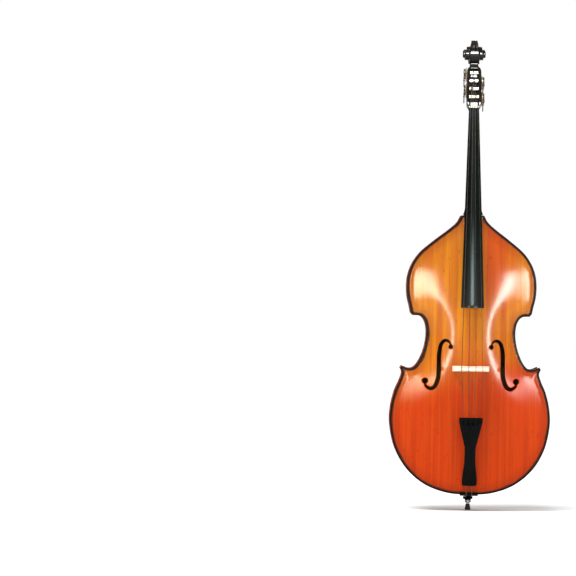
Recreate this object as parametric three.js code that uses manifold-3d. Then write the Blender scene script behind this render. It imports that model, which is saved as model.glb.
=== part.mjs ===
// A three-quarter size double bass with sloping shoulders, a carved top and back, and geared tuning machines.
//
// Millimetres, +Z up along the neck, the front (top plate) facing -Y and +X towards the treble side.
// The origin is on the centre line, at the middle of the rib depth and at the lowest point of the body outline,
// where a padded stand carries the instrument.

import * as THREE from "three";
import { mergeVertices } from "three/addons/utils/BufferGeometryUtils.js";
import Module from "manifold-3d";

const wasm = await Module();
wasm.setup();

// ---------------------------------------------------------------- driving dimensions

const GAP = 0.3; // clearance between neighbouring pieces
const FAR = 400; // reach of a cutting block that has to pass right through

// Body box
const BODY_LENGTH = 1118;
const RIB_FRONT = -100; // plane where the top plate sits on the ribs
const RIB_BACK = 100; // the same plane for the back plate, below the taper
const TAPER_START = 700; // height above which the back slopes towards the neck
const TAPER_DEPTH = 45; // how much shallower the body is at the neck
const OVERHANG = 6; // plate edge beyond the ribs
const RIB_THICKNESS = 2.6;
const LINING_THICKNESS = 7;
const LINING_HEIGHT = 24;
const EDGE_THICKNESS = 7;
const ARCH_HEIGHT = 30;
const PLATE_GAIN = 1.5; // extra thickness of the plates away from the edge
const BUTTON_RADIUS = 29;

// Half outline of the plates, bottom centre to neck, as [half width, height]
const LOWER_BOUT = [
  [0, 0], [90, 8], [178, 40], [250, 100], [298, 182], [319, 275], [317, 345], [302, 410], [284, 452], [274, 484],
  [281, 504],
];
const WAIST = [
  [275, 514], [250, 504], [229, 507], [212, 524], [197, 552], [184, 590], [177, 634], [179, 672], [188, 698],
  [205, 714], [233, 716],
];
const UPPER_BOUT = [
  [242, 727], [247, 752], [256, 790], [259, 835], [254, 880], [237, 926], [204, 972], [146, 1021], [90, 1064],
  [60, 1092], [46, 1118],
];
const LOWER_STEPS = 18;
const WAIST_STEPS = 14;
const UPPER_STEPS = 16;

// Sound holes, on the treble side, as [across, height]
const F_UPPER_EYE = [81, 592];
const F_LOWER_EYE = [182, 455];
const F_UPPER_RADIUS = 9;
const F_LOWER_RADIUS = 12;
const F_STEM = [
  [81, 600], [92, 615], [108, 615], [121, 598], [127, 560], [128, 515], [130, 468], [142, 434], [160, 424],
  [178, 434], [184, 448],
];
const F_HALF_WIDTHS = [2, 5, 7, 8, 8.5, 8.5, 8.5, 8, 7, 5, 2];

// Neck and fingerboard, in a side view of [y, z]
const NUT_Z = 1552;
const NUT_Y = -63.5; // the fingerboard's crown at the nut
const BOARD_END_Z = 748;
const BOARD_END_Y = -222;
const NUT_HALF = 20.5;
const BOARD_END_HALF = 46;
const NUT_CROWN = 3;
const BOARD_END_CROWN = 14;
const BOARD_EDGE = 9;
const NECK_DEPTH = 30;
const HEEL_HALF = 31;

// Bridge and strings, bass side to treble side
const BRIDGE_Z = 505;
const BRIDGE_TOP_Y = -287;
const BRIDGE_FOOT_HALF = 80;
const BRIDGE_THICKNESS = 24;
const BRIDGE_TOP_THICKNESS = 9;
const STRINGS = [
  { name: "e", radius: 1.35, bridgeX: -42, nutX: -14.5, tailX: -30, rollerX: -9, roller: 1, side: -1 },
  { name: "a", radius: 1.15, bridgeX: -14, nutX: -4.8, tailX: -10, rollerX: -3.5, roller: 3, side: -1 },
  { name: "d", radius: 0.9, bridgeX: 14, nutX: 4.8, tailX: 10, rollerX: 3.5, roller: 2, side: 1 },
  { name: "g", radius: 0.7, bridgeX: 42, nutX: 14.5, tailX: 30, rollerX: 9, roller: 0, side: 1 },
];
const BRIDGE_CROWN_RADIUS = 78;
const STRING_SIDES = 6;

// Head: pegbox and scroll, leaning back from the first string roller
const HEAD_Y = -36;
const HEAD_Z = 1588;
const HEAD_LEAN = THREE.MathUtils.degToRad(16);
const ROLLER_PITCH = 34;
const ROLLER_START = 8; // the lowest roller, along the head
const ROLLER_RADIUS = 6;
const CHEEK_HALF = 30;
const CHEEK_TOP_HALF = 29;
const CHEEK_WALL = 10;
const MORTISE_TOP_HALF = 15;
const SCROLL_CENTRE = [-8, 185]; // across and along the head
const SCROLL_RADIUS = 52;

// Tuning machines
const PLATE_THICKNESS = 2.2;
const GEAR_TEETH = 24;
const GEAR_RADIUS = 15;
const GEAR_ROOT = 13;
const GEAR_THICKNESS = 7;
const WORM_RADIUS = 4.6;
const WORM_DROP = GEAR_RADIUS + WORM_RADIUS + GAP;
const KEY_START = 47; // across the head, behind the pegbox
const KEY_LENGTH = 30;
const KEY_HALF = 20;

// Endpin
const ENDPIN_RADIUS = 5;
const ENDPIN_TOP = 330;
const FOOT_BOTTOM = -64;
const PLUG_RADIUS = 16;

// ---------------------------------------------------------------- materials

const finish = (color, roughness, metalness = 0) =>
  new THREE.MeshStandardMaterial({ color, roughness, metalness });
const SPRUCE = finish(0xd9702a, 0.3);
const MAPLE = finish(0x954525, 0.3);
const BLACK_MAPLE = finish(0x1c1815, 0.3);
const BARE_SPRUCE = finish(0xdcc59a, 0.8);
const BARE_MAPLE = finish(0xe6d3ae, 0.6);
const EBONY = finish(0x17161a, 0.35);
const BRASS = finish(0x4d4232, 0.35, 1);
const STEEL = finish(0xb9bcc0, 0.3, 1);
const STRING_WOUND = finish(0x655d50, 0.35, 1);
const RUBBER = finish(0x1a1a1a, 0.85);
const BONE = finish(0xe9e2cf, 0.35);

// ---------------------------------------------------------------- helpers

const bass = new THREE.Group();

function add(name, geometry, material) {
  const mesh = new THREE.Mesh(geometry, material);
  mesh.name = name;
  bass.add(mesh);
}

function solid(geometry) {
  const bare = geometry.index ? geometry.toNonIndexed() : geometry.clone();
  bare.deleteAttribute("normal");
  bare.deleteAttribute("uv");
  const merged = mergeVertices(bare, 1e-3);
  return new wasm.Manifold(
    new wasm.Mesh({
      numProp: 3,
      vertProperties: new Float32Array(merged.attributes.position.array),
      triVerts: new Uint32Array(merged.index.array),
    }),
  );
}

function geometryOf(manifold) {
  const mesh = manifold.getMesh();
  const positions = new Float32Array(mesh.numVert * 3);
  for (let i = 0; i < mesh.numVert; i++)
    positions.set(mesh.vertProperties.subarray(i * mesh.numProp, i * mesh.numProp + 3), i * 3);
  return new THREE.BufferGeometry()
    .setAttribute("position", new THREE.BufferAttribute(positions, 3))
    .setIndex(new THREE.BufferAttribute(mesh.triVerts, 1));
}

const shapeOf = (points) => new THREE.Shape(points.map(([u, v]) => new THREE.Vector2(u, v)));

function extrude(shape, depth, curveSegments = 6) {
  return new THREE.ExtrudeGeometry(shape, { depth, bevelEnabled: false, curveSegments });
}

// A prism on an outline of [x, z], from y0 to y1
function prismY(points, y0, y1, holes = []) {
  const shape = shapeOf(points);
  for (const hole of holes) shape.holes.push(shapeOf(hole));
  return extrude(shape, y1 - y0)
    .rotateX(Math.PI / 2)
    .translate(0, y1, 0);
}

// A prism on an outline of [y, z], from x0 to x1
function prismX(points, x0, x1) {
  const turn = new THREE.Matrix4().makeBasis(
    new THREE.Vector3(0, 1, 0),
    new THREE.Vector3(0, 0, 1),
    new THREE.Vector3(1, 0, 0),
  );
  return extrude(shapeOf(points), x1 - x0)
    .applyMatrix4(turn)
    .translate(x0, 0, 0);
}

function box(x0, x1, y0, y1, z0, z1) {
  return new THREE.BoxGeometry(x1 - x0, y1 - y0, z1 - z0).translate((x0 + x1) / 2, (y0 + y1) / 2, (z0 + z1) / 2);
}

// A turned piece about +Z, from a profile of [radius, height] listed bottom to top
function turned(profile, segments) {
  const points = profile.map(([r, h]) => new THREE.Vector2(r, h));
  return new THREE.LatheGeometry(points, segments).rotateX(Math.PI / 2);
}

// Cylinder about the X axis
function rodX(radius, x0, x1, y, z, segments) {
  return new THREE.CylinderGeometry(radius, radius, x1 - x0, segments)
    .rotateZ(Math.PI / 2)
    .translate((x0 + x1) / 2, y, z);
}

// A closed skin over a row of rings, each a list of [x, y, z] with the same count, capped at both ends
function loft(rings) {
  const count = rings[0].length;
  const positions = rings.flat(2);
  const faces = [];
  for (let r = 0; r + 1 < rings.length; r++)
    for (let i = 0; i < count; i++) {
      const [a, b] = [r * count + i, r * count + ((i + 1) % count)];
      faces.push(a, b, b + count, a, b + count, a + count);
    }
  for (const [ring, first] of [[rings[0], 0], [rings.at(-1), (rings.length - 1) * count]]) {
    const centre = positions.length / 3;
    const middle = [0, 1, 2].map((k) => ring.reduce((sum, p) => sum + p[k], 0) / count);
    positions.push(...middle);
    for (let i = 0; i < count; i++) {
      const [a, b] = [first + i, first + ((i + 1) % count)];
      faces.push(...(first === 0 ? [centre, b, a] : [centre, a, b]));
    }
  }
  const geometry = new THREE.BufferGeometry()
    .setAttribute("position", new THREE.Float32BufferAttribute(positions, 3))
    .setIndex(faces);
  if (solid(geometry).volume() < 0) {
    for (let i = 0; i < faces.length; i += 3) [faces[i + 1], faces[i + 2]] = [faces[i + 2], faces[i + 1]];
    geometry.setIndex(faces);
  }
  return geometry;
}

// A round cord through the given points
function cord(points, radius, sides = STRING_SIDES) {
  const path = points.map((p) => new THREE.Vector3(...p));
  const directions = path.slice(1).map((p, i) => p.clone().sub(path[i]).normalize());
  let across = new THREE.Vector3(1, 0, 0);
  const rings = path.map((p, i) => {
    const before = directions[Math.max(i - 1, 0)];
    const after = directions[Math.min(i, directions.length - 1)];
    const along = before.clone().add(after).normalize();
    const stretch = 1 / Math.max(along.dot(after), 0.4);
    across = across.clone().addScaledVector(along, -across.dot(along)).normalize();
    const up = along.clone().cross(across);
    const bend = after.clone().sub(before);
    if (bend.length() > 0.01) bend.normalize();
    return Array.from({ length: sides }, (_, k) => {
      const angle = (2 * Math.PI * k) / sides;
      const offset = across.clone().multiplyScalar(Math.cos(angle) * radius);
      offset.addScaledVector(up, Math.sin(angle) * radius);
      offset.addScaledVector(bend, offset.dot(bend) * (stretch - 1));
      return p.clone().add(offset).toArray();
    });
  });
  return loft(rings);
}

function splinePoints(points, steps) {
  return new THREE.SplineCurve(points.map(([x, z]) => new THREE.Vector2(x, z)))
    .getPoints(steps)
    .map((p) => [p.x, p.y]);
}

// The points of an open line, moved sideways by a distance along its left-hand normal
function offsetLine(points, distance) {
  return points.map(([x, z], i) => {
    const [x0, z0] = points[Math.max(i - 1, 0)];
    const [x1, z1] = points[Math.min(i + 1, points.length - 1)];
    const length = Math.hypot(x1 - x0, z1 - z0);
    return [x - ((z1 - z0) / length) * distance, z + ((x1 - x0) / length) * distance];
  });
}

const mirror = (points) => points.map(([x, z]) => [-x, z]).reverse();

// ---------------------------------------------------------------- body outline and arching

const lowerLine = splinePoints(LOWER_BOUT, LOWER_STEPS);
const waistLine = splinePoints(WAIST, WAIST_STEPS);
const upperLine = splinePoints(UPPER_BOUT, UPPER_STEPS);
const halfOutline = [...lowerLine, ...waistLine, ...upperLine];
const outline = [...halfOutline, ...mirror(halfOutline.slice(1))];

function inside([x, z], polygon) {
  let within = false;
  for (let i = 0, j = polygon.length - 1; i < polygon.length; j = i++) {
    const [xi, zi] = polygon[i];
    const [xj, zj] = polygon[j];
    if (zi > z !== zj > z && x < ((xj - xi) * (z - zi)) / (zj - zi) + xi) within = !within;
  }
  return within;
}

// Across the plate the arching has the shape of a membrane held at the outline. Along it, a long flat curve.
const CELL_X = 54;
const CELL_Z = 54;
const COLUMNS = 14;
const ROWS = 24;
const GRID_X0 = (-COLUMNS / 2) * CELL_X;
const GRID_Z0 = -50;
const FINE = 5; // finer cells for the membrane than for the surface
const MEMBRANE_PASSES = 1500;
const CROSS_POWER = 1.3; // above 1 it leaves a hollow channel inside the edge
const LONG_POWER = 3.2;

function archGrid() {
  const step = CELL_X / FINE;
  const nx = COLUMNS * FINE + 1;
  const nz = ROWS * FINE + 1;
  const held = [];
  const height = new Float64Array(nx * nz);
  for (let j = 0; j < nz; j++)
    for (let i = 0; i < nx; i++) held.push(!inside([GRID_X0 + i * step, GRID_Z0 + j * step], outline));
  for (let pass = 0; pass < MEMBRANE_PASSES; pass++)
    for (let j = 1; j < nz - 1; j++)
      for (let i = 1; i < nx - 1; i++) {
        const k = j * nx + i;
        if (held[k]) continue;
        height[k] = (height[k - 1] + height[k + 1] + height[k - nx] + height[k + nx] + 1) / 4;
      }
  return (column, row) => {
    const ridge = height[row * FINE * nx + (nx - 1) / 2];
    const long = 1 - Math.abs((2 * (GRID_Z0 + row * CELL_Z)) / BODY_LENGTH - 1) ** LONG_POWER;
    return ridge > 0 ? ARCH_HEIGHT * long * (height[row * FINE * nx + column * FINE] / ridge) ** CROSS_POWER : 0;
  };
}
const archAt = archGrid();

const arch = Array.from({ length: ROWS + 1 }, (_, row) =>
  Array.from({ length: COLUMNS + 1 }, (_unused, column) => archAt(column, row)),
);

// Height of the faceted arching at a place on the plate
function archHeight(x, z) {
  const u = (x - GRID_X0) / CELL_X;
  const v = (z - GRID_Z0) / CELL_Z;
  const [i, j] = [Math.floor(u), Math.floor(v)];
  const [s, t] = [u - i, v - j];
  const low = arch[j][i] * (1 - s) + arch[j][i + 1] * s;
  const high = arch[j + 1][i] * (1 - s) + arch[j + 1][i + 1] * s;
  return low * (1 - t) + high * t;
}

// Depth that the back loses at a height
function taper(z) {
  const share = Math.max(0, (z - TAPER_START) / (BODY_LENGTH - TAPER_START));
  return TAPER_DEPTH * share * share;
}

// A slab over the whole grid between two surfaces, each a function of the arch and the height
function slab(front, rear) {
  const side = (surface) =>
    arch.map((row, j) =>
      row.map((rise, i) => {
        const [x, z] = [GRID_X0 + i * CELL_X, GRID_Z0 + j * CELL_Z];
        return [x, surface(rise, z), z];
      }),
    );
  const [a, b] = [side(front), side(rear)];
  const positions = [...a, ...b].flat(2);
  const width = COLUMNS + 1;
  const second = width * (ROWS + 1);
  const faces = [];
  const quad = (p, q, r, s) => faces.push(p, q, r, p, r, s);
  for (let j = 0; j < ROWS; j++)
    for (let i = 0; i < COLUMNS; i++) {
      const k = j * width + i;
      quad(k, k + 1, k + width + 1, k + width);
      quad(second + k, second + k + width, second + k + width + 1, second + k + 1);
    }
  for (let i = 0; i < COLUMNS; i++) {
    const top = ROWS * width + i;
    quad(i + 1, i, second + i, second + i + 1);
    quad(top, top + 1, second + top + 1, second + top);
  }
  for (let j = 0; j < ROWS; j++) {
    const left = j * width;
    const right = left + COLUMNS;
    quad(left, left + width, second + left + width, second + left);
    quad(right + width, right, second + right, second + right + width);
  }
  return new THREE.BufferGeometry()
    .setAttribute("position", new THREE.Float32BufferAttribute(positions, 3))
    .setIndex(faces);
}

const topOuter = (rise) => RIB_FRONT - EDGE_THICKNESS - rise;
const topInner = (rise) => RIB_FRONT - Math.max(0, rise - PLATE_GAIN);
const backInner = (rise, z) => RIB_BACK - taper(z) + Math.max(0, rise - PLATE_GAIN);
const backOuter = (rise, z) => RIB_BACK - taper(z) + EDGE_THICKNESS + rise;

// ---------------------------------------------------------------- plates

// One sound hole: a tapered stem between two round eyes
function soundHole(side) {
  const stem = F_STEM.map(([x, z]) => [x, z]);
  const dense = splinePoints(stem, 20);
  const widths = dense.map((_, i) => {
    const at = (i / (dense.length - 1)) * (F_HALF_WIDTHS.length - 1);
    const low = Math.min(Math.floor(at), F_HALF_WIDTHS.length - 2);
    return F_HALF_WIDTHS[low] + (F_HALF_WIDTHS[low + 1] - F_HALF_WIDTHS[low]) * (at - low);
  });
  const left = dense.map((p, i) => offsetLine(dense, widths[i])[i]);
  const right = dense.map((p, i) => offsetLine(dense, -widths[i])[i]);
  const strip = solid(prismY([...right, ...left.reverse()].map(([x, z]) => [x * side, z]), -FAR, 0));
  const eye = ([x, z], radius) =>
    solid(
      new THREE.CylinderGeometry(radius, radius, FAR, 12).translate(x * side, -FAR / 2, z),
    );
  return strip.add(eye(F_UPPER_EYE, F_UPPER_RADIUS)).add(eye(F_LOWER_EYE, F_LOWER_RADIUS));
}

const platePrism = solid(prismY(outline, -FAR, FAR));
const topNotch = solid(box(-HEEL_HALF - GAP, HEEL_HALF + GAP, -FAR, 0, 1082 - GAP, FAR + BODY_LENGTH));
const saddleNotch = solid(box(-36 - GAP, 36 + GAP, -FAR, 0, -10, 10 + GAP));

let topPlate = solid(slab(topOuter, topInner)).intersect(platePrism);
topPlate = topPlate.subtract(topNotch).subtract(saddleNotch);
for (const side of [-1, 1]) topPlate = topPlate.subtract(soundHole(side));
add("top_plate", geometryOf(topPlate), SPRUCE);

const button = splineArc(0, BODY_LENGTH + 6, BUTTON_RADIUS, 0, Math.PI, 10);
const buttonPrism = solid(
  prismY([[BUTTON_RADIUS, BODY_LENGTH - 30], ...button, [-BUTTON_RADIUS, BODY_LENGTH - 30]], 0, FAR),
);
function splineArc(x, z, radius, from, to, steps) {
  return Array.from({ length: steps + 1 }, (_, i) => {
    const angle = from + ((to - from) * i) / steps;
    return [x + radius * Math.cos(angle), z + radius * Math.sin(angle)];
  });
}
const backPlate = solid(slab(backInner, backOuter)).intersect(platePrism.add(buttonPrism));
add("back_plate", geometryOf(backPlate), MAPLE);

// ---------------------------------------------------------------- ribs, linings and blocks

// Everything in front of the back plate's seat, less a gap
const boxSpace = (() => {
  const heights = Array.from({ length: 9 }, (_, i) => TAPER_START + ((BODY_LENGTH + 60 - TAPER_START) * i) / 8);
  const line = [[RIB_BACK - GAP, -FAR], ...heights.map((z) => [backSeat(z) - GAP, z])];
  return solid(prismX([[-FAR, -FAR], ...line, [-FAR, heights.at(-1)]], -FAR, FAR));
})();

// The back plate's seat, following the straight facets of its surface
function backSeat(z) {
  const v = (z - GRID_Z0) / CELL_Z;
  const j = Math.floor(v);
  const [low, high] = [GRID_Z0 + j * CELL_Z, GRID_Z0 + (j + 1) * CELL_Z];
  return RIB_BACK - Math.max(taper(low) * (1 - (v - j)) + taper(high) * (v - j), taper(z));
}

function strip(line, from, to) {
  return [...offsetLine(line, from), ...offsetLine(line, to).reverse()];
}

function ribs() {
  const lines = {
    lower: lowerLine.slice(0, -1),
    middle: waistLine.slice(1, -1),
    upper: upperLine.slice(1),
  };
  const keepRight = solid(box(GAP / 2, FAR, -FAR, FAR, -50, BODY_LENGTH - 6));
  const neckGap = solid(box(-HEEL_HALF - GAP, HEEL_HALF + GAP, -FAR, FAR, BODY_LENGTH - 60, FAR + BODY_LENGTH));
  for (const [bout, line] of Object.entries(lines)) {
    const band = strip(line, OVERHANG, OVERHANG + RIB_THICKNESS);
    let rib = solid(prismY(band, RIB_FRONT + GAP, RIB_BACK)).intersect(boxSpace);
    if (bout === "lower") rib = rib.intersect(keepRight).subtract(plugHole);
    if (bout === "upper") rib = rib.intersect(keepRight).subtract(neckGap);
    add(`rib_${bout}_treble`, geometryOf(rib), MAPLE);
    add(`rib_${bout}_bass`, geometryOf(mirrored(rib)), MAPLE);
  }
}

function mirrored(manifold) {
  const geometry = geometryOf(manifold).scale(-1, 1, 1);
  const index = geometry.index.array;
  for (let i = 0; i < index.length; i += 3) [index[i + 1], index[i + 2]] = [index[i + 2], index[i + 1]];
  return solid(geometry);
}

const plugHole = solid(
  new THREE.CylinderGeometry(PLUG_RADIUS + 0.5, PLUG_RADIUS + 0.5, 240, 20).rotateX(Math.PI / 2),
);
ribs();

// Linings: one closed strip round each edge, let through the blocks
function ring(inset, y0, y1) {
  const half = [
    ...offsetLine(lowerLine, OVERHANG + RIB_THICKNESS + GAP + inset).slice(0, -2),
    ...offsetLine(waistLine, OVERHANG + RIB_THICKNESS + GAP + inset).slice(2, -2),
    ...offsetLine(upperLine, OVERHANG + RIB_THICKNESS + GAP + inset).slice(2, -2),
  ];
  return solid(prismY([...half, ...mirror(half.slice(1))], y0, y1));
}
const everything = (y0, y1) => solid(box(-FAR, FAR, y0, y1, -50, BODY_LENGTH + 100));
const frontBand = (growth) => everything(RIB_FRONT - 5, RIB_FRONT + LINING_HEIGHT + growth);
const rearBand = (growth) => {
  const lift = new THREE.Matrix4().makeTranslation(0, -LINING_HEIGHT - growth, 0);
  return everything(0, RIB_BACK + 10).subtract(solid(geometryOf(boxSpace).applyMatrix4(lift)));
};
function lining(band) {
  const loop = ring(0, -FAR, FAR).subtract(ring(LINING_THICKNESS, -FAR - 1, FAR + 1));
  return loop.intersect(band).intersect(boxSpace).intersect(everything(RIB_FRONT + GAP, FAR));
}
add("front_lining", geometryOf(lining(frontBand(0))), BARE_SPRUCE);
add("back_lining", geometryOf(lining(rearBand(0))), BARE_SPRUCE);
const liningChannels = frontBand(GAP)
  .add(rearBand(GAP))
  .subtract(ring(LINING_THICKNESS + GAP, -FAR, FAR));

// A block on an outline of [x, z], standing from plate to plate, with channels for the linings
function block(points) {
  return solid(prismY(points, RIB_FRONT + GAP, RIB_BACK))
    .intersect(boxSpace)
    .subtract(liningChannels);
}

// Corner blocks fill the horn between two bouts, from the first line's end to the second line's start
const innerLine = (line) => offsetLine(line, OVERHANG + RIB_THICKNESS + GAP);
const lowerCorner = block([
  ...innerLine(lowerLine).filter(([, z]) => z > 425 && z < 480),
  ...innerLine(waistLine).filter(([x, z]) => x < 250 && z < 545),
  [195, 505],
  [232, 440],
]);
const upperCorner = block([
  ...innerLine(waistLine).filter(([x, z]) => x < 214 && z > 690),
  ...innerLine(upperLine).filter(([, z]) => z > 745 && z < 800),
  [205, 775],
]);
for (const [name, corner] of [["lower", lowerCorner], ["upper", upperCorner]]) {
  add(`corner_block_${name}_treble`, geometryOf(corner), BARE_SPRUCE);
  add(`corner_block_${name}_bass`, geometryOf(mirrored(corner)), BARE_SPRUCE);
}

const END_BLOCK_HALF = 62;
const endInset = offsetLine(lowerLine, OVERHANG + RIB_THICKNESS + GAP).filter(([x]) => x < END_BLOCK_HALF);
const endPoints = [[0, endInset[0][1]], ...endInset.slice(1), [END_BLOCK_HALF, 62], [-END_BLOCK_HALF, 62]];
const endOutline = [...endPoints.slice(0, -1), ...mirror(endPoints.slice(1, -1))];
add("end_block", geometryOf(block(endOutline).subtract(plugHole)), BARE_SPRUCE);

const neckInset = offsetLine(upperLine, OVERHANG + RIB_THICKNESS + GAP).filter(([, z]) => z > 1030 && z < 1100);
const neckHalf = [...neckInset, [HEEL_HALF + 6, 1104]];
const neckBlockOutline = [...neckHalf, ...mirror(neckHalf)];
const HEEL_SEAT = 1082;
const heelMortise = solid(box(-HEEL_HALF - GAP, HEEL_HALF + GAP, -FAR, FAR, HEEL_SEAT - GAP, FAR + BODY_LENGTH));
add("neck_block", geometryOf(block(neckBlockOutline).subtract(heelMortise)), BARE_SPRUCE);

// ---------------------------------------------------------------- bass bar and sound post

const insideTop = solid(slab((rise) => topInner(rise) + GAP - FAR, (rise) => topInner(rise) + GAP));
const bassBar = solid(
  prismX([[-140, 250], [-98, 250], [-88, 380], [-84, 560], [-88, 740], [-98, 880], [-140, 880]], -64, -42),
);
add("bass_bar", geometryOf(bassBar.subtract(insideTop)), BARE_SPRUCE);

const POST_X = 58;
const POST_Z = 478;
const POST_RADIUS = 9;
const POST_EASE = 1.6; // the plates fall away across the post's end
const postFront = topInner(archHeight(POST_X, POST_Z)) + POST_EASE;
const postRear = backInner(archHeight(POST_X, POST_Z), POST_Z) - POST_EASE;
add(
  "sound_post",
  new THREE.CylinderGeometry(POST_RADIUS, POST_RADIUS, postRear - postFront, 14).translate(
    POST_X,
    (postRear + postFront) / 2,
    POST_Z,
  ),
  BARE_SPRUCE,
);

// ---------------------------------------------------------------- neck, pegbox and scroll

const NECK_SLOPE = (NUT_Y - BOARD_END_Y) / (NUT_Z - BOARD_END_Z);
const boardCrown = (z) => NUT_Y - NECK_SLOPE * (NUT_Z - z);
const boardHalf = (z) => NUT_HALF + ((BOARD_END_HALF - NUT_HALF) * (NUT_Z - z)) / (NUT_Z - BOARD_END_Z);
// How far the crown stands above the board's edges
const crownRise = (z) => NUT_CROWN + ((BOARD_END_CROWN - NUT_CROWN) * (NUT_Z - z)) / (NUT_Z - BOARD_END_Z);
const gluePlane = (z) => boardCrown(z) + crownRise(z) + BOARD_EDGE;

// Half-round section under the glue plane
function neckSection(z, half, depth, steps = 10) {
  const y = gluePlane(z) + GAP;
  return Array.from({ length: steps + 1 }, (_, i) => {
    const angle = Math.PI * (1 - i / steps);
    return [Math.cos(angle) * half, y + Math.sin(angle) ** 0.8 * depth, z];
  });
}
const NECK_STATIONS = [
  [1552, 20, 26],
  [1500, 22, NECK_DEPTH],
  [1330, 27, NECK_DEPTH + 3],
  [1230, 30, NECK_DEPTH + 6],
  [1180, 31, NECK_DEPTH + 14],
  [1150, 31, 62],
  [1132, 31, 120],
];
let neck = solid(loft(NECK_STATIONS.map(([z, half, depth]) => neckSection(z, half, depth))));
const heelFront = gluePlane(1134) + GAP;
const heel = solid(
  prismX(
    [
      [gluePlane(HEEL_SEAT) + GAP, HEEL_SEAT],
      [heelFront, 1134],
      [20, 1140],
      [backSeat(1145) - GAP, 1145],
      [backSeat(1112) - GAP, 1112],
      [backSeat(HEEL_SEAT) - GAP, HEEL_SEAT],
    ],
    -HEEL_HALF,
    HEEL_HALF,
  ),
);
neck = neck.add(heel);

// The head is drawn in its own leaning frame: across (front to back) and along (nut to scroll)
const headMatrix = new THREE.Matrix4()
  .makeTranslation(0, HEAD_Y, HEAD_Z)
  .multiply(new THREE.Matrix4().makeRotationX(-HEAD_LEAN));
const inHead = (geometry) => geometry.applyMatrix4(headMatrix);

const CHEEK_FRONT = -20;
const CHEEK_BACK = 33;
const PEGBOX_LOW = -44;
const PEGBOX_HIGH = 134;
const headProfile = [
  [CHEEK_FRONT + 8, PEGBOX_LOW + 4], [CHEEK_FRONT, -26], [CHEEK_FRONT + 2, 60], [CHEEK_FRONT + 6, PEGBOX_HIGH],
  [-20, 150], [0, 168], [30, 168], [36, 150], [28, 110], [CHEEK_BACK, 40], [CHEEK_BACK, -10], [26, -34],
  [14, -52], [2, -58],
];
const headBlank = solid(inHead(prismX(headProfile, -CHEEK_HALF, CHEEK_HALF)));
const widthOutline = [
  [-20, -80], [20, -80], [20.5, -40], [CHEEK_HALF, -22], [CHEEK_HALF, 0],
  [CHEEK_TOP_HALF, 118], [17, 138], [17, 175],
  [-17, 175], [-17, 138], [-CHEEK_TOP_HALF, 118], [-CHEEK_HALF, 0], [-CHEEK_HALF, -22], [-20.5, -40],
];
const widthPrism = solid(inHead(prismY(widthOutline, -120, 120)));
neck = neck.add(headBlank.intersect(widthPrism));

// Scroll: stepped discs, each turn standing further out towards the eye
const scrollDisc = (radius, half, y, z, segments) => solid(inHead(rodX(radius, -half, half, y, z, segments)));
const [scrollY, scrollZ] = SCROLL_CENTRE;
neck = neck
  .add(scrollDisc(SCROLL_RADIUS, 17, scrollY, scrollZ, 26))
  .add(scrollDisc(34, 32, scrollY - 6, scrollZ - 4, 20))
  .add(scrollDisc(17, 45, scrollY - 8, scrollZ - 2, 14));

// Mortise of the pegbox
const mortiseOutline = [
  [-17, -35], [17, -35], [CHEEK_HALF - CHEEK_WALL, 0], [MORTISE_TOP_HALF, 122], [-MORTISE_TOP_HALF, 122],
  [-CHEEK_HALF + CHEEK_WALL, 0],
];
const mortiseSide = [[-60, -35], [-12, -35], [20, -12], [20, 98], [12, 124], [-60, 124]];
const mortise = solid(inHead(prismY(mortiseOutline, -90, 60))).intersect(
  solid(inHead(prismX(mortiseSide, -30, 30))),
);
neck = neck.subtract(mortise);

// Bores for the rollers: right through the near cheek, blind in the far one
const rollerAlong = (string) => ROLLER_START + string.roller * ROLLER_PITCH;
const cheekHalfAt = (along) => CHEEK_HALF - ((CHEEK_HALF - CHEEK_TOP_HALF) * Math.max(0, along)) / 118;
const BORE_RADIUS = ROLLER_RADIUS + 0.6;
for (const string of STRINGS) {
  const far = (cheekHalfAt(rollerAlong(string)) - 4) * -string.side;
  const near = 60 * string.side;
  const bore = rodX(BORE_RADIUS, Math.min(far, near), Math.max(far, near), 0, rollerAlong(string), 16);
  neck = neck.subtract(solid(inHead(bore)));
}
// The fingerboard and the nut sit against the neck
const boardSpace = solid(
  prismX(
    [
      [-FAR, 1556.2], [gluePlane(1556.2) + GAP, 1556.2], [gluePlane(HEEL_SEAT - 10) + GAP, HEEL_SEAT - 10],
      [-FAR, HEEL_SEAT - 10],
    ],
    -60,
    60,
  ),
);
neck = neck.subtract(boardSpace);
add("neck", geometryOf(neck), BLACK_MAPLE);

// ---------------------------------------------------------------- fingerboard and nut

function boardSection(z, crownTo = 9) {
  const half = boardHalf(z);
  const crown = Array.from({ length: crownTo + 1 }, (_, i) => {
    const x = half * (1 - (2 * i) / crownTo);
    return [x, boardCrown(z) + crownRise(z) * (x / half) ** 2, z];
  });
  return [...crown, [-half + 1, gluePlane(z), z], [half - 1, gluePlane(z), z]];
}
add("fingerboard", loft([boardSection(NUT_Z - GAP), boardSection(BOARD_END_Z)]), EBONY);

const NUT_TOP = 1560;
const nutSection = (z) => {
  const y = boardCrown(z) - 1.5;
  const rim = [[NUT_HALF, 4], [NUT_HALF * 0.5, 1], [0, 0.4], [-NUT_HALF * 0.5, 1], [-NUT_HALF, 4]];
  return [...rim.map(([x, drop]) => [x, y + drop, z]), [-NUT_HALF, NUT_SEAT, z], [NUT_HALF, NUT_SEAT, z]];
};
const NUT_SEAT = gluePlane(NUT_Z) - 2 * GAP;
add("nut", loft([nutSection(NUT_Z), nutSection(NUT_Z + 3.6)]), BONE);

// ---------------------------------------------------------------- bridge

// The strings lie on an arc over the bridge
const crownY = (x) => BRIDGE_TOP_Y + BRIDGE_CROWN_RADIUS - Math.sqrt(BRIDGE_CROWN_RADIUS ** 2 - x ** 2);
const topSurface = RIB_FRONT - EDGE_THICKNESS;

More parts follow.
